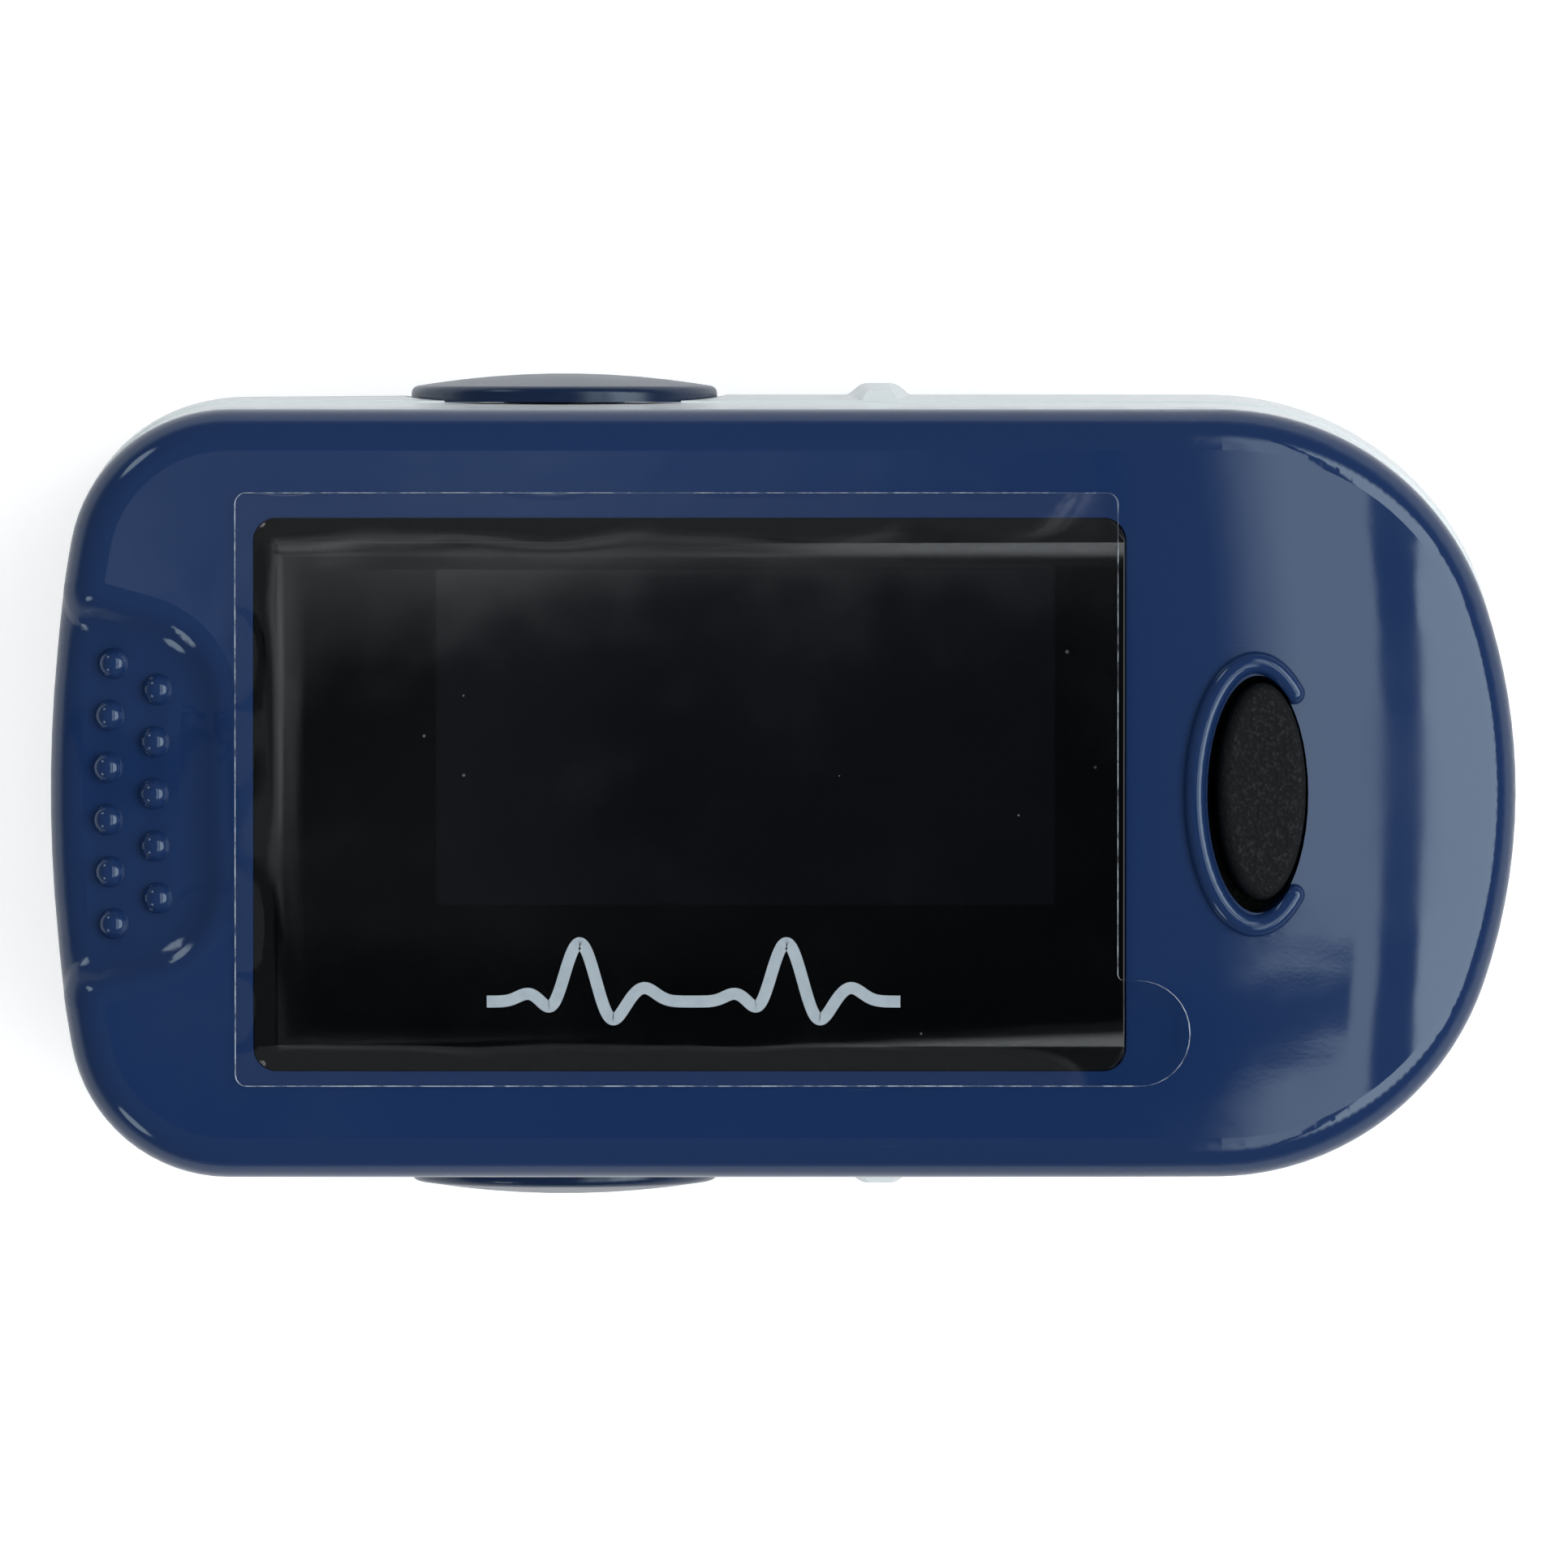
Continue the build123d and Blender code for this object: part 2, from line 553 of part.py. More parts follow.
def lower_frame():
    """Light frame that holds the cells below its deck and the finger pad above."""
    frame = frame_body(-1)
    frame += slab(WALL + FIT_GAP, BOTTOM_SEAM_Z - 1.2, BOTTOM_SEAM_Z + 1)
    frame -= slab(2.5, 0, BOTTOM_SEAM_Z + 1) + slab(WALL, BOTTOM_SEAM_Z + 1, LOWER_DECK[0])
    frame -= slab(WALL, LOWER_DECK[1], FAR)
    frame -= finger_channel(-1, 0.9) & block((20, FAR), (-FAR, FAR), (LOWER_DECK[1], FAR))
    for x in (BAY_X[0] - 0.8, BAY_X[1]):
        wall = block((x, x + 0.8), (-10.9, 10.9), (2.6, LOWER_DECK[1])) & slab(WALL + FIT_GAP, 0, FAR)
        frame += wall
    frame -= jaw_side(-1)
    frame += tail_skin(-1)
    frame += lug(LOWER_LUG_Y, LOWER_DECK[0] + 0.2, SHAFT_R)
    frame -= both_sides(block((HINGE_X - 3.4, HINGE_X + 3.4), (10.5, 12.5), (LOWER_DECK[0] - 1, FAR)))
    frame -= cap_recess()
    frame -= block((-13.4, -12.0), (-3.6, 3.6), (10, LOWER_DECK[1]))
    frame += guide_rib(-1)
    for x, y in BASE_SCREWS:
        frame += rod_z(SCREW_BOSS_R, x, y, 4.0, LOWER_DECK[1])
        frame -= rod_z(SCREW_SHANK_R, x, y, 3.0, 9.0)
    return frame


def lower_finger_pad():
    """Soft grooved pad on the deck of the lower jaw."""
    pad = slab(WALL + FIT_GAP, LOWER_DECK[1], PARTING_Z - PARTING_GAP - 0.15)
    pad &= block((PAD_BACK_X, FAR), (-FAR, FAR), (0, FAR))
    pad -= finger_channel(-1)
    return pad - block((SENSOR_X - 3, SENSOR_X + 3), (-3, 3), (0, FAR))


def sensor_window():
    """Clear plate in the floor of the finger channel."""
    return block((SENSOR_X - 3, SENSOR_X + 3), (-3, 3), (13.9, 14.35))


def photodiode():
    carrier = block((SENSOR_X - 2.9, SENSOR_X + 2.9), (-2.9, 2.9), (LOWER_DECK[1], LOWER_DECK[1] + 0.25))
    return carrier + block((SENSOR_X - 1.5, SENSOR_X + 1.5), (-1.3, 1.3), (LOWER_DECK[1] + 0.2, 13.85))


def base_tray():
    """Bottom shell before the door is divided from it."""
    tray = ease(slab(0, 0, BOTTOM_SEAM_Z), BOTTOM_SEAM_Z)
    tray = fillet(tray.faces().sort_by(Axis.Z)[0].edges(), BASE_RIM_R)
    cavity = slab(WALL, WALL, BOTTOM_SEAM_Z + 1)
    return tray - fillet(cavity.faces().sort_by(Axis.Z)[0].edges(), 0.9)


def bottom_shell():
    door = block((-FAR, DOOR_X + DOOR_GAP), (-DOOR_HALF_Y - DOOR_GAP, DOOR_HALF_Y + DOOR_GAP), (-1, FAR))
    shell = base_tray() - door
    rail_slot = block((-FAR, -20), (DOOR_HALF_Y, DOOR_HALF_Y + 1.15), (WALL + 0.02, 2.62))
    shell -= both_sides(rail_slot)
    for x, y in BASE_SCREWS:
        shell += rod_z(SCREW_BOSS_R, x, y, WALL - 0.1, 4.0)
        shell -= rod_z(SCREW_SHANK_R + 0.1, x, y, -1, FAR)
        shell -= rod_z(SCREW_HEAD[0] + 0.15, x, y, -1, 1.1)
    return shell


def battery_cover():
    """Sliding door: floor plate, tail wall, side rails with tongues and a snap tongue."""
    door = base_tray() & block((-FAR, DOOR_X), (-DOOR_HALF_Y, DOOR_HALF_Y), (-1, FAR))
    rails = block((-20, 19), (DOOR_HALF_Y - 0.9, DOOR_HALF_Y), (WALL - 0.1, 2.5))
    rails += block((-20, 19), (DOOR_HALF_Y - 0.1, DOOR_HALF_Y + 1.0), (WALL + 0.12, 2.5))
    door += both_sides(rails & slab(WALL + 0.7, 0, FAR))
    door += block((DOOR_X - 2, DOOR_X + 0.9), (-2.5, 2.5), (WALL + 0.1, 2.3))
    door += block((DOOR_X - 2, DOOR_X - 0.3), (-2.5, 2.5), (WALL - 0.2, 2.0))
    for i in range(5):
        door -= Pos(-21.5 + 1.6 * i, 0, 0) * Rot(90, 0, 0) * Cylinder(0.35, 13 - 1.6 * abs(i - 2))
    return door


def battery(side):
    """AAA cell along X; the +Y cell has its nub at the nose, the -Y cell at the tail."""
    nub_x = BAY_X[1] - 0.3 if side > 0 else BAY_X[0] + 0.3
    can = fillet(Cylinder(CELL_R, CELL_LENGTH - 1.0).edges(), 0.6)
    cell = can + Pos(0, 0, CELL_LENGTH / 2) * Cylinder(1.9, 1.0)
    turn = Rot(0, 90 * side, 0)
    middle = nub_x - side * CELL_LENGTH / 2
    return Pos(middle - side * 0.5, side * CELL_Y, CELL_Z) * turn * cell


def contact_spring(side):
    """Conical coil that presses on a cell's flat end."""
    plate_x = BAY_X[0] + 0.3 if side > 0 else BAY_X[1] - 0.3
    coil = Helix(pitch=0.45, height=1.35, radius=3.4, cone_angle=-50)
    start = Plane(origin=coil @ 0, z_dir=coil % 0)
    wire = sweep(start * Circle(0.18), path=coil, is_frenet=True)
    return Pos(plate_x + side * 0.18, side * CELL_Y, CELL_Z) * Rot(0, 90 * side, 0) * wire


def contact_springs():
    return Compound(children=[contact_spring(1), contact_spring(-1)])


def contact_plates():
    """Spring-steel plates at both ends of the bay, joined at the tail into one link."""
    x0, x1 = BAY_X
    nose = [block((x1 - 0.3, x1), (s * CELL_Y - 4, s * CELL_Y + 4), (3.2, 10.6)) for s in (1, -1)]
    link = block((x0, x0 + 0.3), (-CELL_Y - 2.4, CELL_Y + 2.4), (3.2, 10.6))
    link -= block((x0 - 1, x0 + 1), (-1.0, 1.0), (0, 8.6))
    return Compound(children=[*nose, link])


def base_screws():
    parts = [screw(x, y, 0.3, 1, 6.5) for x, y in BASE_SCREWS]
    return Compound(children=parts)


def hinge_shaft():
    shaft = rod_y(SHAFT_R, HINGE_X, PARTING_Z, -SHAFT_HALF, SHAFT_HALF)
    return chamfer(shaft.edges().filter_by(GeomType.CIRCLE), 0.2)


def hinge_cap(side):
    """Round cap with a soft rim and a low crown, on a boss that grips the end of the shaft."""
    crown_h = CAP_CROWN_Y - CAP_RIM_Y
    crown_r = (CAP_R**2 + crown_h**2) / (2 * crown_h)
    thickness = CAP_CROWN_Y - CAP_Y
    disc = Pos(0, 0, thickness / 2) * Cylinder(CAP_R, thickness)
    disc &= Pos(0, 0, thickness - crown_r) * Rot(90, 0, 0) * Sphere(crown_r)
    disc = fillet(disc.edges().sort_by(Axis.Z)[-1], 0.3)
    disc += Pos(0, 0, -0.55) * Cylinder(CAP_BOSS_R, 1.3)
    disc -= Pos(0, 0, SHAFT_HALF - CAP_Y - 2) * Cylinder(SHAFT_R, 4)
    cap = Pos(HINGE_X, CAP_Y, PARTING_Z) * Rot(-90, 0, 0) * disc
    return cap if side > 0 else mirror(cap, about=Plane.XZ)


def torsion_spring(side):
    """Closing spring on the shaft: a coil with one leg on each deck, behind the hinge."""
    wire_r, coil_r, pitch = 0.3, 1.75, 0.66
    up_lean, down_lean = 31.0, 3.0
    turns = 3 + (180 - up_lean - down_lean) / 360
    width = pitch * turns
    helix = Helix(pitch=pitch, height=width, radius=coil_r)
    spring = sweep(Plane(origin=helix @ 0, z_dir=helix % 0) * Circle(wire_r), path=helix, is_frenet=True)
    spring = Rot(-90, 0, 0) * Rot(0, 0, -90 - up_lean) * spring
    for rise, lean, y, length in ((1, up_lean, 0.0, 8.6), (-1, down_lean, width, 8.3)):
        tilt = math.radians(lean)
        start = Vector(coil_r * math.sin(tilt), y, rise * coil_r * math.cos(tilt))
        along = Vector(-math.cos(tilt), 0, rise * math.sin(tilt))
        spring += Plane(origin=start, z_dir=along) * extrude(Circle(wire_r), amount=length)
        spring += Pos(*start) * Sphere(wire_r)
    spring = Pos(HINGE_X, 6.1, PARTING_Z) * spring
    return spring if side > 0 else mirror(spring, about=Plane.XZ)


def jaw_ribbon():
    """Flat cable that loops from the lower jaw, behind the shaft, up to the main board."""
    thickness, width = 0.22, 6.0
    low_x, loop_x, high_x = -12.7, -17.4, -13.6
    low_z, high_z = 14.6, 22.4
    path = FilletPolyline(
        (low_x, LOWER_DECK[0] + 0.2),
        (low_x, low_z),
        (loop_x, low_z),
        (loop_x, high_z),
        (high_x, high_z),
        (high_x, BOARD_Z[0]),
        radius=(0.9, 2.0, 2.0, 0.9),
    )
    strip = trace([path], thickness)
    return Plane((0, width / 2, 0), x_dir=(1, 0, 0), z_dir=(0, -1, 0)) * extrude(strip, amount=width)


PARTS = {
    "top_shell": top_shell,
    "display_lens": display_lens,
    "screen_film": screen_film,
    "display_panel": display_panel,
    "display_gasket": display_gasket,
    "display_ribbon": display_ribbon,
    "main_board": main_board,
    "board_chips": board_chips,
    "tact_switch": tact_switch,
    "power_button": power_button,
    "upper_frame": upper_frame,
    "upper_finger_pad": upper_finger_pad,
    "led_window": led_window,
    "led_emitter": led_emitter,
    "top_screws": top_screws,
    "lower_frame": lower_frame,
    "lower_finger_pad": lower_finger_pad,
    "sensor_window": sensor_window,
    "photodiode": photodiode,
    "bottom_shell": bottom_shell,
    "battery_cover": battery_cover,
    "battery_left": lambda: battery(1),
    "battery_right": lambda: battery(-1),
    "contact_springs": contact_springs,
    "contact_plates": contact_plates,
    "base_screws": base_screws,
    "hinge_shaft": hinge_shaft,
    "hinge_cap_left": lambda: hinge_cap(1),
    "hinge_cap_right": lambda: hinge_cap(-1),
    "torsion_spring_left": lambda: torsion_spring(1),
    "torsion_spring_right": lambda: torsion_spring(-1),
    "jaw_ribbon": jaw_ribbon,
}

os.makedirs("parts", exist_ok=True)
for name, make in PARTS.items():
    export_step(make(), f"parts/{name}.step")
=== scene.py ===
"""Fingertip pulse oximeter: its finishes and fine shapes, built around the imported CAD.

Everything is in metres in the CAD's own frame: +X points out of the finger mouth (the nose), +Y
across, +Z up, and the case stands on z = 0. New pieces are grids of points worked out with numpy.
"""
import json
import math
import bmesh
import bpy
import numpy as np
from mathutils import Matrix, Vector


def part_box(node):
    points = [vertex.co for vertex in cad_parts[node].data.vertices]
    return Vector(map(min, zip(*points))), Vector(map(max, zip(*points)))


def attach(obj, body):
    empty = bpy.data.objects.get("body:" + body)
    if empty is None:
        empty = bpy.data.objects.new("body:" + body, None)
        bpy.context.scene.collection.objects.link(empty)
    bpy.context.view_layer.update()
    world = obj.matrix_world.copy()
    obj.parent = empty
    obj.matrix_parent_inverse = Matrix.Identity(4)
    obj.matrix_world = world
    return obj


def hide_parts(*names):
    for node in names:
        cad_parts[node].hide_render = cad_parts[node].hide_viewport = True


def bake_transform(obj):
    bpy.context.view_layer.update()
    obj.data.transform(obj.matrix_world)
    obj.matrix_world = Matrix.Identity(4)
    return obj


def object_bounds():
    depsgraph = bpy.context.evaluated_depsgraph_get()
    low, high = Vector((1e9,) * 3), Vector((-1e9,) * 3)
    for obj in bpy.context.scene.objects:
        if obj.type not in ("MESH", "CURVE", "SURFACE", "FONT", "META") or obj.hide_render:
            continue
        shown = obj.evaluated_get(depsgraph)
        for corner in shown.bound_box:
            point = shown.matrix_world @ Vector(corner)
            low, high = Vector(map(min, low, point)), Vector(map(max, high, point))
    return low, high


MM = 0.001

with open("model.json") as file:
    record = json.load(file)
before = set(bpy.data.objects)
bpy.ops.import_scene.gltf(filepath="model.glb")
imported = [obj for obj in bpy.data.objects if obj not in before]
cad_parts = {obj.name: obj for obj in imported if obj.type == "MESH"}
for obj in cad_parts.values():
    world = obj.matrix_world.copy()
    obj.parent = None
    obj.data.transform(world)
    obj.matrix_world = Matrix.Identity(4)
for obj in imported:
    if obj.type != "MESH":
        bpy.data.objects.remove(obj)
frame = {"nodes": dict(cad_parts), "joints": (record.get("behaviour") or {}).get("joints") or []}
cad_low, cad_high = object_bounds()
nodes = frame["nodes"]
joints = {joint["name"]: joint for joint in frame["joints"]}

# ---------------------------------------------------------------- node helpers


def node(tree, kind, inputs=None, **settings):
    """A shader node: settings are its own properties, inputs its sockets' values or the outputs they take."""
    made = tree.nodes.new("ShaderNode" + kind)
    for name, value in settings.items():
        setattr(made, name, value)
    for name, value in (inputs or {}).items():
        if isinstance(value, bpy.types.NodeSocket):
            tree.links.new(value, made.inputs[name])
        else:
            made.inputs[name].default_value = value
    return made


def maths(tree, operation, *terms):
    """Output of a Math node over one, two or three terms."""
    return node(tree, "Math", dict(enumerate(terms)), operation=operation).outputs[0]


def span(tree, value, start, end, low=0.0, high=1.0, smooth=False):
    """Value taken from the range start..end to low..high and held there outside it."""
    kind = "SMOOTHSTEP" if smooth else "LINEAR"
    inputs = {"Value": value, "From Min": start, "From Max": end, "To Min": low, "To Max": high}
    return node(tree, "MapRange", inputs, interpolation_type=kind).outputs["Result"]


def mix(tree, factor, first, second):
    """Colour between two colours."""
    made = node(tree, "Mix", data_type="RGBA")
    for name, value in (("Factor_Float", factor), ("A_Color", first), ("B_Color", second)):
        target = next(s for s in made.inputs if s.identifier == name)
        if isinstance(value, bpy.types.NodeSocket):
            tree.links.new(value, target)
        else:
            target.default_value = value if name == "Factor_Float" else (*value[:3], 1.0)
    return next(s for s in made.outputs if s.identifier == "Result_Color")


def noise(tree, where, scale, detail=2.0, roughness=0.5):
    """Soft cloud of values from about 0 to 1; scale is in cells to the metre."""
    inputs = {"Vector": where, "Scale": scale, "Detail": detail, "Roughness": roughness}
    return node(tree, "TexNoise", inputs).outputs["Fac"]


def cells(tree, where, scale, feature="F1", randomness=1.0):
    """Voronoi cells: the node itself, for its distance and colour."""
    inputs = {"Vector": where, "Scale": scale, "Randomness": randomness}
    return node(tree, "TexVoronoi", inputs, feature=feature)


def stretched(tree, where, scale, turn=(0, 0, 0)):
    """Coordinates scaled and turned by a Mapping node."""
    return node(tree, "Mapping", {"Vector": where, "Scale": scale, "Rotation": turn}).outputs["Vector"]


def new_group(name, inputs, outputs):
    """Empty node group: its inputs are (name, socket kind, default) and its outputs (name, socket kind)."""
    tree = bpy.data.node_groups.new(name, "ShaderNodeTree")
    for label, kind, value in inputs:
        made = tree.interface.new_socket(label, in_out="INPUT", socket_type="NodeSocket" + kind)
        if value is not None:
            made.default_value = value
    for label, kind in outputs:
        tree.interface.new_socket(label, in_out="OUTPUT", socket_type="NodeSocket" + kind)
    return tree, tree.nodes.new("NodeGroupInput").outputs, tree.nodes.new("NodeGroupOutput").inputs


def place_group(tree, group, **inputs):
    """The group as a node of the tree, with its inputs set; a name's underscores stand for spaces."""
    made = tree.nodes.new("ShaderNodeGroup")
    made.node_tree = group
    for name, value in inputs.items():
        target = made.inputs[name.replace("_", " ")]
        if isinstance(value, bpy.types.NodeSocket):
            tree.links.new(value, target)
        else:
            target.default_value = value
    return made.outputs


# ---------------------------------------------------------------- shared surface effects


def make_dust():
    """Specks of dust of many sizes, thinned out by a soft cloud."""
    tree, given, made = new_group(
        "settled_dust",
        [("Where", "Vector", None), ("Scale", "Float", 900.0), ("Amount", "Float", 0.5)],
        [("Mask", "Float")],
    )
    speck = cells(tree, given["Where"], given["Scale"])
    chance = node(tree, "SeparateColor", {"Color": speck.outputs["Color"]}).outputs
    size = maths(tree, "MULTIPLY", maths(tree, "POWER", chance["Red"], 2.5), 0.1)
    shape = maths(tree, "GREATER_THAN", size, speck.outputs["Distance"])
    cloud = noise(tree, given["Where"], 140.0, 3.0)
    limit = maths(tree, "SUBTRACT", 1.0, maths(tree, "MULTIPLY", given["Amount"], cloud))
    kept = maths(tree, "GREATER_THAN", chance["Green"], limit)
    tree.links.new(maths(tree, "MULTIPLY", shape, kept), made["Mask"])
    return tree


def make_handling():
    """Smudges from fingers and fine hairline scratches, as two masks."""
    tree, given, made = new_group(
        "handling_marks",
        [("Where", "Vector", None)],
        [("Smudge", "Float"), ("Scratch", "Float")],
    )
    wide = noise(tree, given["Where"], 90.0, 4.0, 0.6)
    tree.links.new(span(tree, wide, 0.42, 0.72, smooth=True), made["Smudge"])
    lines = []
    for turn in (0.5, 2.1):
        run = stretched(tree, given["Where"], scale=(150.0, 4200.0, 150.0), turn=(0, 0, turn))
        line = noise(tree, run, 1.0, 1.0)
        lines.append(span(tree, line, 0.80, 0.82))
    rare = span(tree, noise(tree, given["Where"], 110.0, 2.0), 0.5, 0.7)
    tree.links.new(maths(tree, "MULTIPLY", maths(tree, "MAXIMUM", *lines), rare), made["Scratch"])
    return tree


def make_mould_skin():
    """Height of a moulded skin: long soft waves (orange peel) and a fine grain."""
    tree, given, made = new_group(
        "moulded_skin",
        [
            ("Where", "Vector", None),
            ("Peel", "Float", 0.5),
            ("Grain", "Float", 0.2),
            ("Grain Scale", "Float", 6000.0),
        ],
        [("Height", "Float")],
    )
    peel = noise(tree, given["Where"], 420.0, 1.0)
    grain = noise(tree, given["Where"], given["Grain Scale"], 2.0)
    soft = maths(tree, "MULTIPLY", peel, given["Peel"])
    fine = maths(tree, "MULTIPLY", grain, given["Grain"])
    tree.links.new(maths(tree, "ADD", soft, fine), made["Height"])
    return tree


SEAM_HEIGHTS = (
    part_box("bottom_shell")[1].z,
    (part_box("lower_frame")[1].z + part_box("upper_frame")[0].z) / 2,
    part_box("top_shell")[0].z,
)


def make_seam_darkening():
    """Darker colour along the case's level seams: strongest at each seam's height, broken by a cloud."""
    tree, given, made = new_group(
        "seam_darkening",
        [("Where", "Vector", None)],
        [("Mask", "Float")],
    )
    reach = 0.6 * MM
    height = node(tree, "SeparateXYZ", {"Vector": given["Where"]}).outputs["Z"]
    near = []
    for seam in SEAM_HEIGHTS:
        away = maths(tree, "ABSOLUTE", maths(tree, "SUBTRACT", height, seam))
        near.append(span(tree, away, 0.0, reach, 1.0, 0.0))
    nearest = near[0]
    for other in near[1:]:
        nearest = maths(tree, "MAXIMUM", nearest, other)
    broken = span(tree, noise(tree, given["Where"], 500.0, 4.0), 0.3, 0.65)
    tree.links.new(maths(tree, "MULTIPLY", nearest, broken), made["Mask"])
    return tree


DUST = make_dust()
HANDLING = make_handling()
MOULD_SKIN = make_mould_skin()
SEAM_DARKENING = make_seam_darkening()


# ---------------------------------------------------------------- materials


def start_material(name):
    """New material: its tree, its Principled shader and its Object coordinates."""
    made = bpy.data.materials.new(name)
    made.use_nodes = True
    tree = made.node_tree
    shader = tree.nodes["Principled BSDF"]
    return made, tree, shader, tree.nodes.new("ShaderNodeTexCoord").outputs["Object"]


def bump(tree, shader, height, distance):
    """Feeds a height in 0..1 to the shader's normal; distance is its real depth."""
    made = node(tree, "Bump", {"Height": height, "Distance": distance})
    tree.links.new(made.outputs["Normal"], shader.inputs["Normal"])


def vary_roughness(tree, shader, cloud, low, high):
    """Lets the roughness drift between low and high with a cloud of values."""
    tree.links.new(span(tree, cloud, 0.3, 0.7, low, high), shader.inputs["Roughness"])


def gloss_plastic(name, colour, dust_colour, roughness=0.045, tint=(1, 1, 1), dust=0.35, peel=0.4, seam_dark=0.0):
    """Injection-moulded gloss plastic: slight colour drift, smudges, hairlines, dust and orange peel."""
    made, tree, shader, where = start_material(name)
    drift = noise(tree, where, 60.0, 2.0)
    deep = tuple(c * 0.9 for c in colour)
    base = mix(tree, drift, deep, colour)
    specks = place_group(tree, DUST, Where=where, Amount=dust)["Mask"]
    marks = place_group(tree, HANDLING, Where=where)
    base = mix(tree, maths(tree, "MULTIPLY", marks["Scratch"], 0.05), base, dust_colour)
    base = mix(tree, maths(tree, "MULTIPLY", specks, 0.35), base, dust_colour)
    # Colour darkened towards DARK_GREY close to the level seams
    if seam_dark:
        seam_mask = place_group(tree, SEAM_DARKENING, Where=where)["Mask"]
        base = mix(tree, maths(tree, "MULTIPLY", seam_mask, seam_dark), base, DARK_GREY)
    tree.links.new(base, shader.inputs["Base Color"])
    rough = maths(tree, "MULTIPLY_ADD", marks["Smudge"], 0.05, roughness)
    rough = maths(tree, "MULTIPLY_ADD", marks["Scratch"], 0.1, rough)
    rough = maths(tree, "MULTIPLY_ADD", specks, 0.5, rough)
    tree.links.new(rough, shader.inputs["Roughness"])
    shader.inputs["IOR"].default_value = 1.5
    shader.inputs["Specular Tint"].default_value = (*tint, 1.0)
    skin = place_group(tree, MOULD_SKIN, Where=where, Peel=peel, Grain=0.01)["Height"]
    bump(tree, shader, skin, 0.02 * MM)
    return made


BLUE = (0.0089, 0.0252, 0.0840)
# Painted shade: the hinge caps' blue is the body blue darkened to 0.6 in place of the shade they sit in
PAINTED_SHADE_BLUE = (0.0053, 0.0150, 0.0500)
COOL = (0.78, 0.93, 1.0)
WHITE = (0.79, 0.84, 0.85)
# Dark grey: the colour of specks and hairlines on white, and of the darkening along the seams
DARK_GREY = (0.10, 0.11, 0.12)
PALE_DUST = (0.42, 0.45, 0.48)

blue_gloss = gloss_plastic("blue_gloss_plastic", BLUE, PALE_DUST, tint=COOL, dust=0.15, peel=0.2)
# Hinge caps: the same blue plastic, its colour darkened as painted shade
blue_cap_painted_shade = gloss_plastic(
    "blue_cap_plastic_painted_shade", PAINTED_SHADE_BLUE, PALE_DUST, roughness=0.2, tint=COOL, dust=0.3, peel=0.25,
)
white_gloss = gloss_plastic(
    "white_gloss_plastic", WHITE, DARK_GREY, roughness=0.2, dust=0.22, peel=0.3, seam_dark=0.35,
)


panel_low, panel_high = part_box("display_panel")
DISPLAY_X = (panel_low.x + 1.45 * MM, panel_high.x - 1.35 * MM)
DISPLAY_Y = (panel_low.y + 5.40 * MM, panel_high.y - 0.78 * MM)


def make_lens_black():
    """Smoked lens: near black, with the paler display showing through as a sharp rectangle."""
    made, tree, shader, where = start_material("smoked_lens")
    axes = node(tree, "SeparateXYZ", {"Vector": where}).outputs
    edge = 0.05 * MM
    mask = None
    for axis, (start, end) in (("X", DISPLAY_X), ("Y", DISPLAY_Y)):
        inside = maths(
            tree, "MULTIPLY",
            span(tree, axes[axis], start - edge, start + edge),
            span(tree, axes[axis], end + edge, end - edge),
        )
        mask = inside if mask is None else maths(tree, "MULTIPLY", mask, inside)
    cloud = noise(tree, where, 250.0, 3.0)
    pane = mix(tree, cloud, (0.0024, 0.0026, 0.0038), (0.0032, 0.0035, 0.0050))
    base = mix(tree, mask, (0.0014, 0.0017, 0.0020), pane)
    tree.links.new(mask, shader.inputs["Coat Weight"])
    specks = place_group(tree, DUST, Where=where, Scale=1300.0, Amount=0.1)["Mask"]
    base = mix(tree, maths(tree, "MULTIPLY", specks, 0.2), base, PALE_DUST)
    tree.links.new(base, shader.inputs["Base Color"])
    marks = place_group(tree, HANDLING, Where=where)
    rough = maths(tree, "MULTIPLY_ADD", marks["Smudge"], 0.04, 0.03)
    tree.links.new(rough, shader.inputs["Roughness"])
    shader.inputs["IOR"].default_value = 1.5
    skin = place_group(tree, MOULD_SKIN, Where=where, Peel=0.1, Grain=0.02)["Height"]
    bump(tree, shader, skin, 0.01 * MM)
    return made


lens_black = make_lens_black()


def make_film():
    """Clear protective film: faint haze and dust. Light on its way to the plastic beneath passes through."""
    made, tree, shader, where = start_material("clear_film")
    haze = noise(tree, where, 300.0, 4.0)
    specks = place_group(tree, DUST, Where=where, Scale=900.0, Amount=0.15)["Mask"]
    tint = mix(tree, maths(tree, "MULTIPLY", specks, 0.4), (0.97, 0.98, 0.99), (0.45, 0.47, 0.49))
    tree.links.new(tint, shader.inputs["Base Color"])
    rough = span(tree, haze, 0.4, 0.7, 0.01, 0.05)
    rough = maths(tree, "MULTIPLY_ADD", specks, 0.4, rough)
    tree.links.new(rough, shader.inputs["Roughness"])
    shader.inputs["IOR"].default_value = 1.45
    shader.inputs["Transmission Weight"].default_value = 1.0
    path = tree.nodes.new("ShaderNodeLightPath").outputs
    unseen = maths(tree, "MAXIMUM", path["Is Shadow Ray"], path["Is Diffuse Ray"])
    tree.links.new(maths(tree, "SUBTRACT", 1.0, unseen), shader.inputs["Alpha"])
    return made


def make_film_edge():
    """Cut edge of the film: frosted and pale, nicked along its length."""
    made, tree, shader, where = start_material("film_cut_edge")
    nicks = noise(tree, where, 1800.0, 3.0)
    tree.links.new(mix(tree, nicks, (0.16, 0.19, 0.23), (0.50, 0.56, 0.62)), shader.inputs["Base Color"])
    vary_roughness(tree, shader, nicks, 0.25, 0.6)
    tree.links.new(span(tree, nicks, 0.38, 0.62, 0.12, 0.85), shader.inputs["Alpha"])
    bump(tree, shader, nicks, 0.02 * MM)
    return made


film_clear = make_film()
film_edge = make_film_edge()


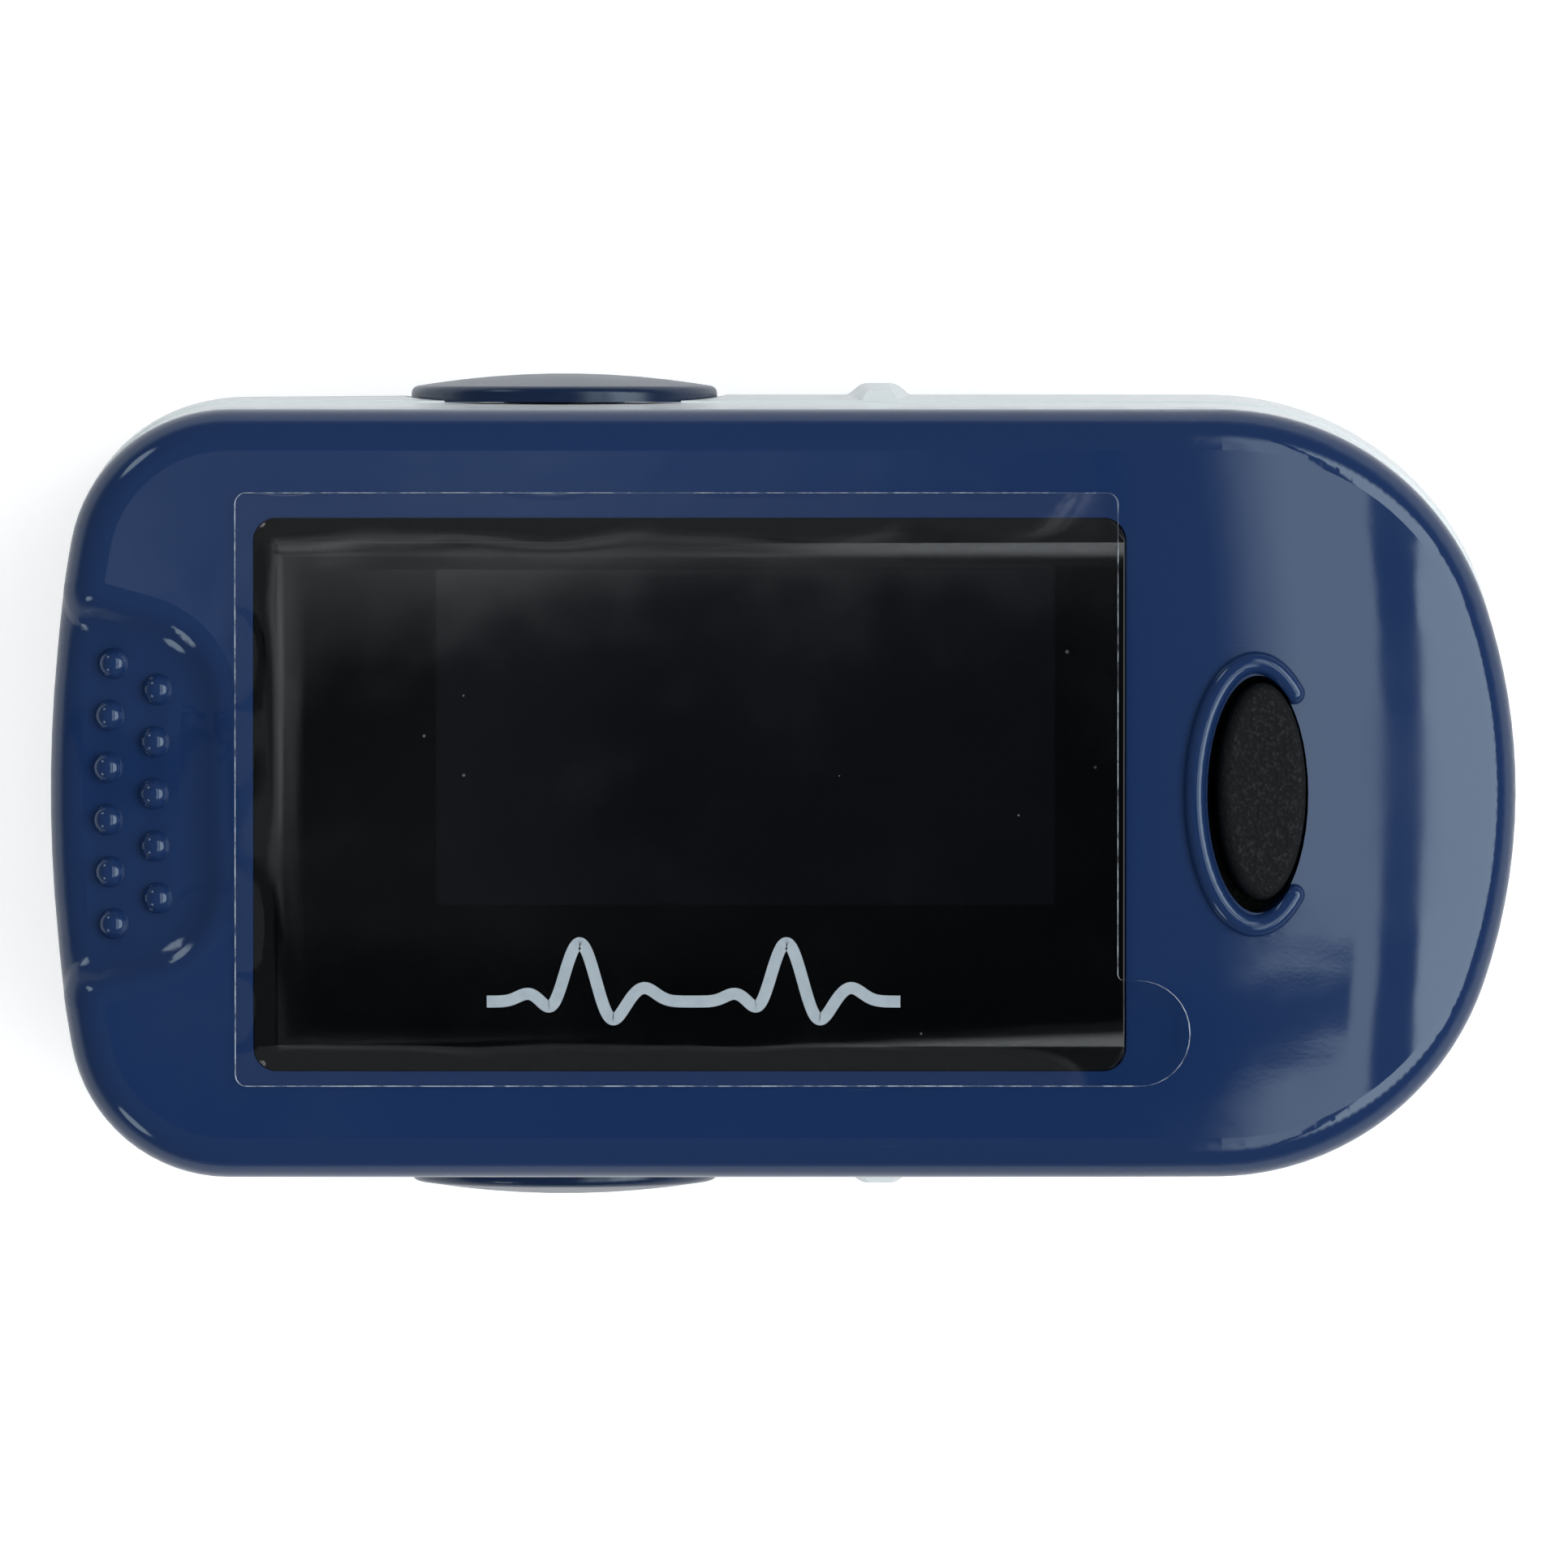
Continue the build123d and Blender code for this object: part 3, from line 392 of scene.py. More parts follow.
def make_granular_rubber():
    """Black rubber with a coarse spark-eroded grain: rounded granules with paler worn tops."""
    made, tree, shader, where = start_material("granular_rubber")
    granule = cells(tree, where, 7000.0, feature="SMOOTH_F1")
    coarse = noise(tree, where, 3500.0, 3.0)
    height = maths(tree, "MULTIPLY_ADD", granule.outputs["Distance"], -0.8, coarse)
    worn = span(tree, height, 0.15, 0.45)
    base = mix(tree, worn, (0.0028, 0.0037, 0.0044), (0.0056, 0.0072, 0.0086))
    shader.inputs["Specular IOR Level"].default_value = 0.2
    specks = place_group(tree, DUST, Where=where, Scale=1500.0, Amount=0.2)["Mask"]
    base = mix(tree, maths(tree, "MULTIPLY", specks, 0.6), base, PALE_DUST)
    tree.links.new(base, shader.inputs["Base Color"])
    tree.links.new(span(tree, worn, 0.0, 1.0, 0.75, 0.5), shader.inputs["Roughness"])
    bump(tree, shader, height, 0.05 * MM)
    return made


def make_silicone(name="grey_silicone", colour=(0.23, 0.25, 0.275)):
    """Soft satin silicone: dusty skin, fine grain and a little light carried through."""
    made, tree, shader, where = start_material(name)
    cloud = noise(tree, where, 180.0, 4.0)
    base = mix(tree, cloud, tuple(c * 0.86 for c in colour), colour)
    specks = place_group(tree, DUST, Where=where, Amount=0.5)["Mask"]
    base = mix(tree, maths(tree, "MULTIPLY", specks, 0.5), base, (0.55, 0.56, 0.58))
    tree.links.new(base, shader.inputs["Base Color"])
    vary_roughness(tree, shader, cloud, 0.5, 0.64)
    shader.inputs["Subsurface Weight"].default_value = 0.12
    shader.inputs["Subsurface Radius"].default_value = (1.0, 0.9, 0.8)
    shader.inputs["Subsurface Scale"].default_value = 0.6 * MM
    skin = place_group(tree, MOULD_SKIN, Where=where, Peel=0.2, Grain=0.6, Grain_Scale=5000.0)["Height"]
    bump(tree, shader, skin, 0.03 * MM)
    return made


def make_circuit_board():
    """Green solder mask over copper tracks, with tinned dots on a grid."""
    made, tree, shader, where = start_material("green_circuit_board")
    track = node(
        tree, "TexBrick",
        {"Vector": stretched(tree, where, scale=(1000, 1000, 1000)), "Scale": 0.8, "Mortar Size": 0.03,
         "Color1": (1, 1, 1, 1), "Color2": (0.8, 0.8, 0.8, 1), "Mortar": (0, 0, 0, 1)},
    )
    copper = node(tree, "SeparateColor", {"Color": track.outputs["Color"]}).outputs["Red"]
    base = mix(tree, copper, (0.003, 0.040, 0.018), (0.010, 0.095, 0.040))
    via = cells(tree, where, 560.0, randomness=0.35)
    dots = maths(tree, "LESS_THAN", via.outputs["Distance"], 0.12)
    base = mix(tree, dots, base, (0.62, 0.62, 0.60))
    tree.links.new(base, shader.inputs["Base Color"])
    tree.links.new(dots, shader.inputs["Metallic"])
    vary_roughness(tree, shader, noise(tree, where, 900.0, 3.0), 0.24, 0.38)
    bump(tree, shader, maths(tree, "MAXIMUM", copper, dots), 0.03 * MM)
    return made


def make_speckled(name, dark, light, scale, roughness, depth):
    """Dense speckled material such as moulded epoxy or foam: two colours, a grain and its depth."""
    made, tree, shader, where = start_material(name)
    grain = noise(tree, where, scale, 4.0, 0.6)
    tree.links.new(mix(tree, span(tree, grain, 0.35, 0.65), dark, light), shader.inputs["Base Color"])
    vary_roughness(tree, shader, grain, roughness - 0.08, roughness + 0.08)
    bump(tree, shader, grain, depth)
    return made


def make_foam():
    """Closed-cell foam: small round cells pressed into a matt black skin."""
    made, tree, shader, where = start_material("black_foam")
    cell = cells(tree, where, 3800.0)
    pit = span(tree, cell.outputs["Distance"], 0.0, 0.6)
    tree.links.new(mix(tree, pit, (0.004, 0.004, 0.005), (0.022, 0.022, 0.024)), shader.inputs["Base Color"])
    tree.links.new(span(tree, pit, 0.0, 1.0, 0.95, 0.75), shader.inputs["Roughness"])
    bump(tree, shader, pit, 0.08 * MM)
    return made


def make_display_module():
    """Display glass: dark panes with a thin silvery rim and faint parallel lines."""
    made, tree, shader, where = start_material("display_glass")
    low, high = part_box("display_panel")
    axes = node(tree, "SeparateXYZ", {"Vector": where}).outputs
    rim = None
    for axis, start, end in (("X", low.x, high.x), ("Y", low.y, high.y)):
        from_start = maths(tree, "SUBTRACT", axes[axis], start)
        from_end = maths(tree, "SUBTRACT", end, axes[axis])
        close = maths(tree, "LESS_THAN", maths(tree, "MINIMUM", from_start, from_end), 0.6 * MM)
        rim = close if rim is None else maths(tree, "MAXIMUM", rim, close)
    lines = node(
        tree, "TexWave", {"Vector": where, "Scale": 900.0, "Distortion": 0.0}, bands_direction="X",
    ).outputs["Fac"]
    pane = mix(tree, lines, (0.030, 0.034, 0.040), (0.042, 0.047, 0.055))
    tree.links.new(mix(tree, rim, pane, (0.35, 0.36, 0.38)), shader.inputs["Base Color"])
    tree.links.new(span(tree, rim, 0.0, 1.0, 0.08, 0.3), shader.inputs["Roughness"])
    bump(tree, shader, lines, 0.005 * MM)
    return made


def make_polyimide(name, along):
    """Amber flat cable: copper conductors run along it beneath a clear amber cover."""
    made, tree, shader, where = start_material(name)
    across = node(tree, "SeparateXYZ", {"Vector": where}).outputs[along]
    wave = maths(tree, "SINE", maths(tree, "MULTIPLY", across, 2 * math.pi / (0.7 * MM)))
    copper = span(tree, wave, -0.1, 0.25)
    cloud = noise(tree, where, 700.0, 3.0)
    base = mix(tree, copper, (0.42, 0.15, 0.018), (0.62, 0.27, 0.060))
    base = mix(tree, maths(tree, "MULTIPLY", cloud, 0.25), base, (0.30, 0.10, 0.012))
    tree.links.new(base, shader.inputs["Base Color"])
    vary_roughness(tree, shader, cloud, 0.22, 0.36)
    shader.inputs["Coat Weight"].default_value = 0.4
    bump(tree, shader, copper, 0.03 * MM)
    return made


def make_clear_window():
    """Clear moulded plate over a sensor, faintly warm, with fine wipe marks."""
    made, tree, shader, where = start_material("clear_sensor_window")
    cloud = noise(tree, where, 800.0, 3.0)
    tree.links.new(mix(tree, cloud, (0.93, 0.86, 0.84), (0.98, 0.95, 0.94)), shader.inputs["Base Color"])
    tree.links.new(span(tree, cloud, 0.35, 0.7, 0.02, 0.09), shader.inputs["Roughness"])
    shader.inputs["IOR"].default_value = 1.5
    shader.inputs["Transmission Weight"].default_value = 1.0
    return made


def make_metal(name, dark, light, roughness, stretch, grain_scale):
    """Bare metal with a drawn or turned grain: stretch squeezes the grain across its run."""
    made, tree, shader, where = start_material(name)
    run = stretched(tree, where, scale=stretch)
    grain = noise(tree, run, grain_scale, 3.0, 0.6)
    stain = noise(tree, where, 350.0, 4.0)
    base = mix(tree, grain, dark, light)
    base = mix(tree, span(tree, stain, 0.55, 0.8, 0.0, 0.35), base, dark)
    tree.links.new(base, shader.inputs["Base Color"])
    vary_roughness(tree, shader, grain, roughness - 0.06, roughness + 0.1)
    shader.inputs["Metallic"].default_value = 1.0
    bump(tree, shader, grain, 0.006 * MM)
    return made


def make_cell_wrap():
    """Cell jacket: plain grey film with one dark band, and bare nickel ends."""
    made, tree, shader, where = start_material("cell_jacket")
    low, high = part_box("battery_left")
    along = node(tree, "SeparateXYZ", {"Vector": where}).outputs["X"]
    middle = (low.x + high.x) / 2
    away = maths(tree, "ABSOLUTE", maths(tree, "SUBTRACT", along, middle))
    half = (high.x - low.x) / 2
    end = span(tree, away, half - 1.7 * MM, half - 1.5 * MM)
    band_start, band_end, soft = 12.0 * MM, 14.6 * MM, 0.1 * MM
    band = maths(
        tree, "MULTIPLY",
        span(tree, away, band_start, band_start + soft),
        span(tree, away, band_end, band_end - soft),
    )
    cloud = noise(tree, where, 400.0, 3.0)
    base = mix(tree, cloud, (0.33, 0.35, 0.37), (0.39, 0.41, 0.43))
    base = mix(tree, band, base, (0.02, 0.05, 0.09))
    base = mix(tree, end, base, (0.62, 0.60, 0.56))
    tree.links.new(base, shader.inputs["Base Color"])
    tree.links.new(end, shader.inputs["Metallic"])
    vary_roughness(tree, shader, cloud, 0.24, 0.34)
    bump(tree, shader, cloud, 0.01 * MM)
    return made


def make_sensor_ceramic():
    """White ceramic carrier with a darker die in its middle."""
    made, tree, shader, where = start_material("sensor_ceramic")
    low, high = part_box("photodiode")
    middle = ((low.x + high.x) / 2, (low.y + high.y) / 2)
    axes = node(tree, "SeparateXYZ", {"Vector": where}).outputs
    away = maths(
        tree, "MAXIMUM",
        maths(tree, "ABSOLUTE", maths(tree, "SUBTRACT", axes["X"], middle[0])),
        maths(tree, "ABSOLUTE", maths(tree, "SUBTRACT", axes["Y"], middle[1])),
    )
    die = maths(tree, "LESS_THAN", away, 1.0 * MM)
    grain = noise(tree, where, 3000.0, 3.0)
    pale = mix(tree, grain, (0.66, 0.66, 0.64), (0.78, 0.78, 0.76))
    tree.links.new(mix(tree, die, pale, (0.035, 0.030, 0.045)), shader.inputs["Base Color"])
    vary_roughness(tree, shader, grain, 0.4, 0.55)
    bump(tree, shader, grain, 0.01 * MM)
    return made


def make_print_ink():
    """Pale screen-print ink: slightly uneven and matt."""
    made, tree, shader, where = start_material("pale_print_ink")
    cloud = noise(tree, where, 2500.0, 3.0)
    tree.links.new(mix(tree, cloud, (0.27, 0.32, 0.36), (0.38, 0.43, 0.46)), shader.inputs["Base Color"])
    vary_roughness(tree, shader, cloud, 0.4, 0.55)
    bump(tree, shader, cloud, 0.004 * MM)
    return made


button_rubber = make_granular_rubber()
silicone = make_silicone()
circuit_board = make_circuit_board()
epoxy_black = make_speckled(
    "moulded_epoxy", (0.010, 0.010, 0.011), (0.026, 0.026, 0.028),
    scale=6000.0, roughness=0.5, depth=0.01 * MM,
)
foam_black = make_foam()
display_glass = make_display_module()
ribbon_amber = make_polyimide("polyimide_cable_x", "X")
ribbon_amber_y = make_polyimide("polyimide_cable_y", "Y")
window_clear = make_clear_window()
sensor_ceramic = make_sensor_ceramic()
screw_steel = make_metal(
    "zinc_screw_steel", (0.34, 0.34, 0.33), (0.58, 0.58, 0.57),
    roughness=0.3, stretch=(1, 1, 6), grain_scale=3000.0,
)
shaft_steel = make_metal(
    "ground_shaft_steel", (0.36, 0.36, 0.37), (0.62, 0.62, 0.63),
    roughness=0.2, stretch=(1, 12, 1), grain_scale=4000.0,
)
spring_steel = make_metal(
    "drawn_spring_steel", (0.26, 0.26, 0.28), (0.50, 0.50, 0.52),
    roughness=0.26, stretch=(1, 1, 1), grain_scale=5000.0,
)
contact_nickel = make_metal(
    "nickel_contact", (0.44, 0.42, 0.38), (0.68, 0.65, 0.60),
    roughness=0.22, stretch=(1, 1, 5), grain_scale=3000.0,
)
cell_jacket = make_cell_wrap()
print_ink = make_print_ink()

FINISHES = {
    "top_shell": blue_gloss,
    "bottom_shell": blue_gloss,
    "battery_cover": blue_gloss,
    "hinge_cap_left": blue_cap_painted_shade,
    "hinge_cap_right": blue_cap_painted_shade,
    "upper_frame": white_gloss,
    "lower_frame": white_gloss,
    "upper_finger_pad": silicone,
    "lower_finger_pad": silicone,
    "main_board": circuit_board,
    "board_chips": epoxy_black,
    "tact_switch": epoxy_black,
    "display_panel": display_glass,
    "display_gasket": foam_black,
    "display_ribbon": ribbon_amber,
    "led_window": window_clear,
    "sensor_window": window_clear,
    "led_emitter": sensor_ceramic,
    "photodiode": sensor_ceramic,
    "top_screws": screw_steel,
    "base_screws": screw_steel,
    "hinge_shaft": shaft_steel,
    "contact_springs": contact_nickel,
    "contact_plates": contact_nickel,
    "battery_left": cell_jacket,
    "battery_right": cell_jacket,
}
for name, finish in FINISHES.items():
    nodes[name].data.materials.clear()
    nodes[name].data.materials.append(finish)


# ---------------------------------------------------------------- shapes


def surface(name, points, material, around=False, sharp_deg=40.0, trim=None):
    """Mesh on a grid of points (rows, columns, xyz): around joins the last column to the first.

    Points that fall together at a pole or a ridge are merged, so the skin closes there. The cells round
    the grid's border take the trim material, if there is one. Edges sharper than sharp_deg, and open
    edges, are shaded as creases."""
    rows, columns = points.shape[:2]
    index = np.arange(rows * columns).reshape(rows, columns)
    if around:
        index = np.concatenate([index, index[:, :1]], axis=1)
    corners = (index[:-1, :-1], index[:-1, 1:], index[1:, 1:], index[1:, :-1])
    quads = np.stack(corners, axis=-1).reshape(-1, 4)
    mesh = bpy.data.meshes.new(name)
    mesh.from_pydata(points.reshape(-1, 3).tolist(), [], quads.tolist())
    if trim:
        border = np.ones((rows - 1, columns - 1), int)
        border[1:-1, 1:-1] = 0
        mesh.polygons.foreach_set("material_index", border.ravel())
    working = bmesh.new()
    working.from_mesh(mesh)
    bmesh.ops.remove_doubles(working, verts=working.verts, dist=0.0005 * MM)
    bmesh.ops.recalc_face_normals(working, faces=working.faces)
    working.to_mesh(mesh)
    working.free()
    mesh.polygons.foreach_set("use_smooth", np.ones(len(mesh.polygons), bool))
    mesh.set_sharp_from_angle(angle=math.radians(sharp_deg))
    loop_edges = np.empty(len(mesh.loops), np.int32)
    mesh.loops.foreach_get("edge_index", loop_edges)
    for open_edge in np.flatnonzero(np.bincount(loop_edges) == 1):
        mesh.edges[int(open_edge)].use_edge_sharp = True
    mesh.materials.append(material)
    if trim:
        mesh.materials.append(trim)
    made = bpy.data.objects.new(name, mesh)
    bpy.context.scene.collection.objects.link(made)
    return made


def smoothstep(value, start, end):
    """0 before start, 1 after end, with a soft S between."""
    t = np.clip((value - start) / (end - start), 0.0, 1.0)
    return t * t * (3 - 2 * t)


def arc(centre, radius, start_deg, end_deg, count):
    """Points of a circular arc in the plane of a profile."""
    turn = np.radians(np.linspace(start_deg, end_deg, count))
    return np.stack([centre[0] + radius * np.cos(turn), centre[1] + radius * np.sin(turn)], axis=-1)


def rounded_block(profile, size, corner_r, nose_share=1.0, corner_points=10):
    """Grid for a profile of (inset, height) carried round a rectangle with round corners.

    Each row is the rectangle drawn in by that row's inset, its corners' radius less the same inset. On the
    +X side the inset is only the nose share of it."""
    inset, height = profile[:, :1], profile[:, 1:]
    radius = np.maximum(corner_r - inset, 0.0)
    turn = np.radians(np.concatenate([np.linspace(a, a + 90, corner_points) for a in (0, 90, 180, 270)]))
    side_x = np.repeat([1.0, -1.0, -1.0, 1.0], corner_points)
    side_y = np.repeat([1.0, 1.0, -1.0, -1.0], corner_points)
    inset_x = np.where(side_x > 0, nose_share, 1.0) * inset
    x = side_x * (size[0] / 2 - inset_x - radius) + radius * np.cos(turn)
    y = side_y * (size[1] / 2 - inset - radius) + radius * np.sin(turn)
    return np.stack([x, y, np.broadcast_to(height, x.shape)], axis=-1)


def along_path(path, side, lift, section):
    """Grid for a closed section of (across, up) points carried along a path.

    Each row is a path point plus across times its side direction plus up times its lift direction."""
    across, up = section[:, 0], section[:, 1]
    return path[:, None] + across[None, :, None] * side[:, None] + up[None, :, None] * lift[:, None]


def unit(vectors):
    """Vectors scaled to length one."""
    return vectors / np.linalg.norm(vectors, axis=-1, keepdims=True)


def round_section(radius, count=12):
    """Closed circle for a wire's section."""
    turn = np.linspace(0, 2 * np.pi, count, endpoint=False)
    return np.stack([radius * np.cos(turn), radius * np.sin(turn)], axis=-1)


def close_ends(grid):
    """The grid with its first and last row drawn to their middles, which caps the tube."""
    return np.concatenate([np.broadcast_to(grid[:1].mean(1, keepdims=True), grid[:1].shape), grid,
                           np.broadcast_to(grid[-1:].mean(1, keepdims=True), grid[-1:].shape)])


def display_lens():
    """Lens plate: a flat top that rolls down to its edge on an arc, over straight sides.

    Profile: from the bottom ridge out to the edge, up the side, in along the arc, and on to the top ridge."""
    low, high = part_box("display_lens")
    size = (high.x - low.x, high.y - low.y)
    half = size[1] / 2
    roll_r, roll_deg = 1.75 * MM, 33.0
    roll = arc((roll_r * math.sin(math.radians(roll_deg)), high.z - roll_r), roll_r, 90 + roll_deg, 90, 12)
    under = np.array([(half, low.z), (0.1 * MM, low.z), (0.0, low.z + 0.1 * MM)])
    over = np.array([(2.0 * MM, high.z), (half, high.z)])
    grid = rounded_block(np.concatenate([under, roll, over]), size, 0.9 * MM, nose_share=0.05)
    grid += np.array([(low.x + high.x) / 2, (low.y + high.y) / 2, 0])
    lens = surface("display_lens_glass", grid, lens_black, around=True, sharp_deg=30)
    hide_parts("display_lens")
    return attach(lens, "upper_jaw")


def film_height(x, y, top_z, lens_low, lens_high):
    """Height of the film over (x, y): flat on the lens, sagging past the lens's flat top.

    The sag grows with the square of the distance and is uneven along the edge. There is none on the nose
    side, where the tab lies level."""
    roll, most_sag, clearance = 0.9 * MM, 0.24 * MM, 0.035 * MM
    out_x = lens_low.x + roll - x
    to_tab = smoothstep(x, lens_high.x - 5.2 * MM, lens_high.x - 0.2 * MM)
    out_y = np.maximum(lens_low.y + roll - y, y - lens_high.y + roll) * (1 - to_tab)
    out = np.maximum(np.maximum(out_x, out_y), 0.0)
    ripple = np.sin((x + y) * 2 * np.pi / (9.7 * MM) + 0.6) + 0.5 * np.sin((x - y) * 2 * np.pi / (5.3 * MM))
    sag = 0.06 * MM * (out / MM) ** 2 * (1.0 + 0.3 * ripple)
    return top_z - clearance - np.minimum(sag, most_sag)


def screen_film():
    """Peel-off film: straight rows between its left edge and its right edge, which runs round the tab.

    A row's left end lies as far down as its right end, and from the tab on a little further, so rows that
    end on the tab's level top stay apart."""
    low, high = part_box("screen_film")
    lens_low, lens_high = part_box("display_lens")
    corner, tab_r, notch = 0.45 * MM, 2.0 * MM, 0.25 * MM
    left, top, bottom = low.x + 0.06 * MM, high.y - 0.1 * MM, low.y + 0.1 * MM
    shoulder = lens_high.x - 0.27 * MM
    tab_end, tab_top = high.x - 0.03 * MM, low.y + 4.2 * MM
    above_tab = np.concatenate([
        arc((shoulder - corner, top - corner), corner, 90, 0, 6),
        np.stack([np.full(24, shoulder), np.linspace(top - 1 * MM, tab_top + 2 * notch, 24)], axis=-1),
    ])
    round_tab = np.concatenate([
        arc((shoulder + notch, tab_top + notch), notch, 180, 270, 5),
        np.array([(shoulder + 0.4 * MM, tab_top)]),
        arc((tab_end - tab_r, tab_top - tab_r), tab_r, 90, 0, 9),
        arc((tab_end - tab_r, bottom + tab_r), tab_r, 0, -90, 9),
    ])
    right = np.concatenate([above_tab, round_tab])
    spread = np.concatenate([np.zeros(len(above_tab)), np.linspace(0, 0.3, len(round_tab))])
    progress = (top - right[:, 1]) / (top - bottom)
    progress += spread * (1 - progress)
    left_y = top - progress * (top - bottom)
    from_corner = np.minimum(np.minimum(top - left_y, left_y - bottom), corner)
    left_x = left + corner - np.sqrt(np.maximum(corner**2 - (corner - from_corner) ** 2, 0.0))
    burr = 0.0010
    across = np.concatenate([[0.0], np.linspace(burr, 1 - burr, 90), [1.0]])[:, None]
    x = left_x + across * (right[:, 0] - left_x)
    y = left_y + across * (right[:, 1] - left_y)
    z = film_height(x, y, high.z, lens_low, lens_high)
    film = surface("protective_film", np.stack([x, y, z], axis=-1), film_clear, sharp_deg=60, trim=film_edge)
    thickness = film.modifiers.new("thickness", "SOLIDIFY")
    thickness.thickness = 0.05 * MM
    thickness.offset = 0.0
    thickness.material_offset_rim = 1
    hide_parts("screen_film")
    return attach(film, "upper_jaw")


def pulse_mark():
    """Printed pulse line: height = a sum of narrow bells (shift, width, size) for each beat, as a flat band.

    The band's two edges are the line moved half a stroke each way along its own normal."""
    lens_low, lens_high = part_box("display_lens")
    start, length = lens_low.x + 9.0 * MM, 16.0 * MM
    base_y, rise, beats = lens_low.y + 2.675 * MM, 1.9 * MM, 2
    x = np.linspace(start, start + length, 900)
    y = np.full_like(x, base_y)
    beat = length / beats
    bells = (
        (-0.25, 0.07, 0.16),
        (-0.13, 0.06, -0.25),
        (0.0, 0.095, 1.2),
        (0.15, 0.075, -0.45),
        (0.31, 0.08, 0.28),
    )
    for i in range(beats):
        centre = start + (i + 0.45) * beat
        for shift, width, size in bells:
            y = y + rise * size * np.exp(-(((x - centre) / beat - shift) / width) ** 2)
    path = np.stack([x, y, np.full_like(x, lens_high.z + 0.006 * MM)], axis=-1)
    tangent = unit(np.gradient(path, axis=0))
    normal = np.stack([-tangent[:, 1], tangent[:, 0], np.zeros(len(x))], axis=-1)
    up = np.tile([0.0, 0.0, 1.0], (len(x), 1))
    stroke, ink = 0.23 * MM, 0.004 * MM
    section = np.array([(-stroke, -ink), (stroke, -ink), (stroke, ink), (-stroke, ink)])
    mark = surface("pulse_print", close_ends(along_path(path, normal, up, section)), print_ink, around=True)
    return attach(mark, "upper_jaw")


def power_button():
    """Oval key: a profile of (growth past the outline, height) round an ellipse on the button's axis."""
    low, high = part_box("power_button")
    out = -Vector(joints["button_press"]["axis"])
    tilt = math.asin(out.x)
    stem, flange_mid, flange_drop = 2.95 * MM, 2.1 * MM, 1.05 * MM
    origin = np.array([
        (low.x + high.x) / 2 + flange_mid * out.x,
        (low.y + high.y) / 2,
        low.z + stem * out.z + flange_drop * out.x,
    ])
    along = np.array([math.cos(tilt), 0, -math.sin(tilt)])
    normal = np.array([out.x, out.y, out.z])
    radii = np.array([1.7, 4.2]) * MM
    edge_r, rise, crown_rise = 0.42 * MM, 0.53 * MM, 0.006 * MM
    roll = arc((-edge_r, rise - edge_r), edge_r, 0, 82, 10)
    crown_in = np.linspace(0.5 * MM, radii[0], 14)[:, None]
    crown = np.concatenate([-crown_in, rise - crown_rise * (1 - crown_in / radii[0]) ** 2], axis=-1)
    under = np.array([
        (-1.7, -2.95), (-0.7, -2.95), (-0.7, -2.45), (0.8, -2.45), (0.8, -1.75), (0.0, -1.75),
    ]) * MM
    profile = np.concatenate([under, roll, crown])
    turn = np.linspace(0, 2 * np.pi, 96, endpoint=False)
    grow = profile[:, :1]
    x = np.maximum(radii[0] + grow, 0.0) * np.cos(turn)
    y = (radii[1] + grow) * np.sin(turn)
    y = np.where(grow <= -radii[0] + 1e-9, (radii[1] - radii[0]) * np.sin(turn), y)
    z = np.broadcast_to(profile[:, 1:], x.shape)
    grid = origin + x[..., None] * along + y[..., None] * np.array([0, 1.0, 0]) + z[..., None] * normal
    key = surface("power_key", grid, button_rubber, around=True, sharp_deg=50)
    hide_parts("power_button")
    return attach(key, "power_button")


def torsion_spring(side, node_name):
    """Closing spring: one wire that runs in along a straight leg, round a helix on the shaft, and out again.

    Coil: radius times (cos, sin) of the turn about the shaft, with a steady advance along it."""
    low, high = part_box(node_name)
    shaft_low, shaft_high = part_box("hinge_shaft")
    centre_x, centre_z = (shaft_low.x + shaft_high.x) / 2, (shaft_low.z + shaft_high.z) / 2
    wire_r, coil_r, leg, lower_leg_share = 0.3 * MM, 1.75 * MM, 8.6 * MM, 0.965
    inner = (low.y if side > 0 else -high.y) + wire_r
    outer = (high.y if side > 0 else -low.y) - wire_r
    up_lean, down_lean = math.radians(31.0), math.radians(3.0)
    turns = 3 + (math.pi - up_lean - down_lean) / (2 * math.pi)
    turn = np.linspace(0, turns * 2 * np.pi, 150)
    start = np.pi / 2 - up_lean
    coil_x = coil_r * np.cos(start - turn)
    coil_z = coil_r * np.sin(start - turn)
    coil_y = inner + (outer - inner) * turn / turn[-1]
    coil = np.stack([coil_x, coil_y, coil_z], axis=-1)
    reach = np.linspace(leg, 0.35 * MM, 12)[:, None]
    leg_up = coil[0] + reach * np.array([-math.cos(up_lean), 0, math.sin(up_lean)])
    along_lower = np.array([-math.cos(down_lean), 0, -math.sin(down_lean)])
    leg_down = coil[-1] + reach[::-1] * lower_leg_share * along_lower
    path = np.concatenate([leg_up, coil, leg_down]) * np.array([1, side, 1])
    path += np.array([centre_x, 0, centre_z])
    tangent = unit(np.gradient(path, axis=0))
    helper = unit(np.cross(tangent, np.tile([0.0, 1.0, 0.0], (len(path), 1))))
    lift = unit(np.cross(helper, tangent))
    grid = close_ends(along_path(path, helper, lift, round_section(wire_r)))
    spring = surface(node_name + "_wire", grid, spring_steel, around=True)
    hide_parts(node_name)
    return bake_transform(spring)


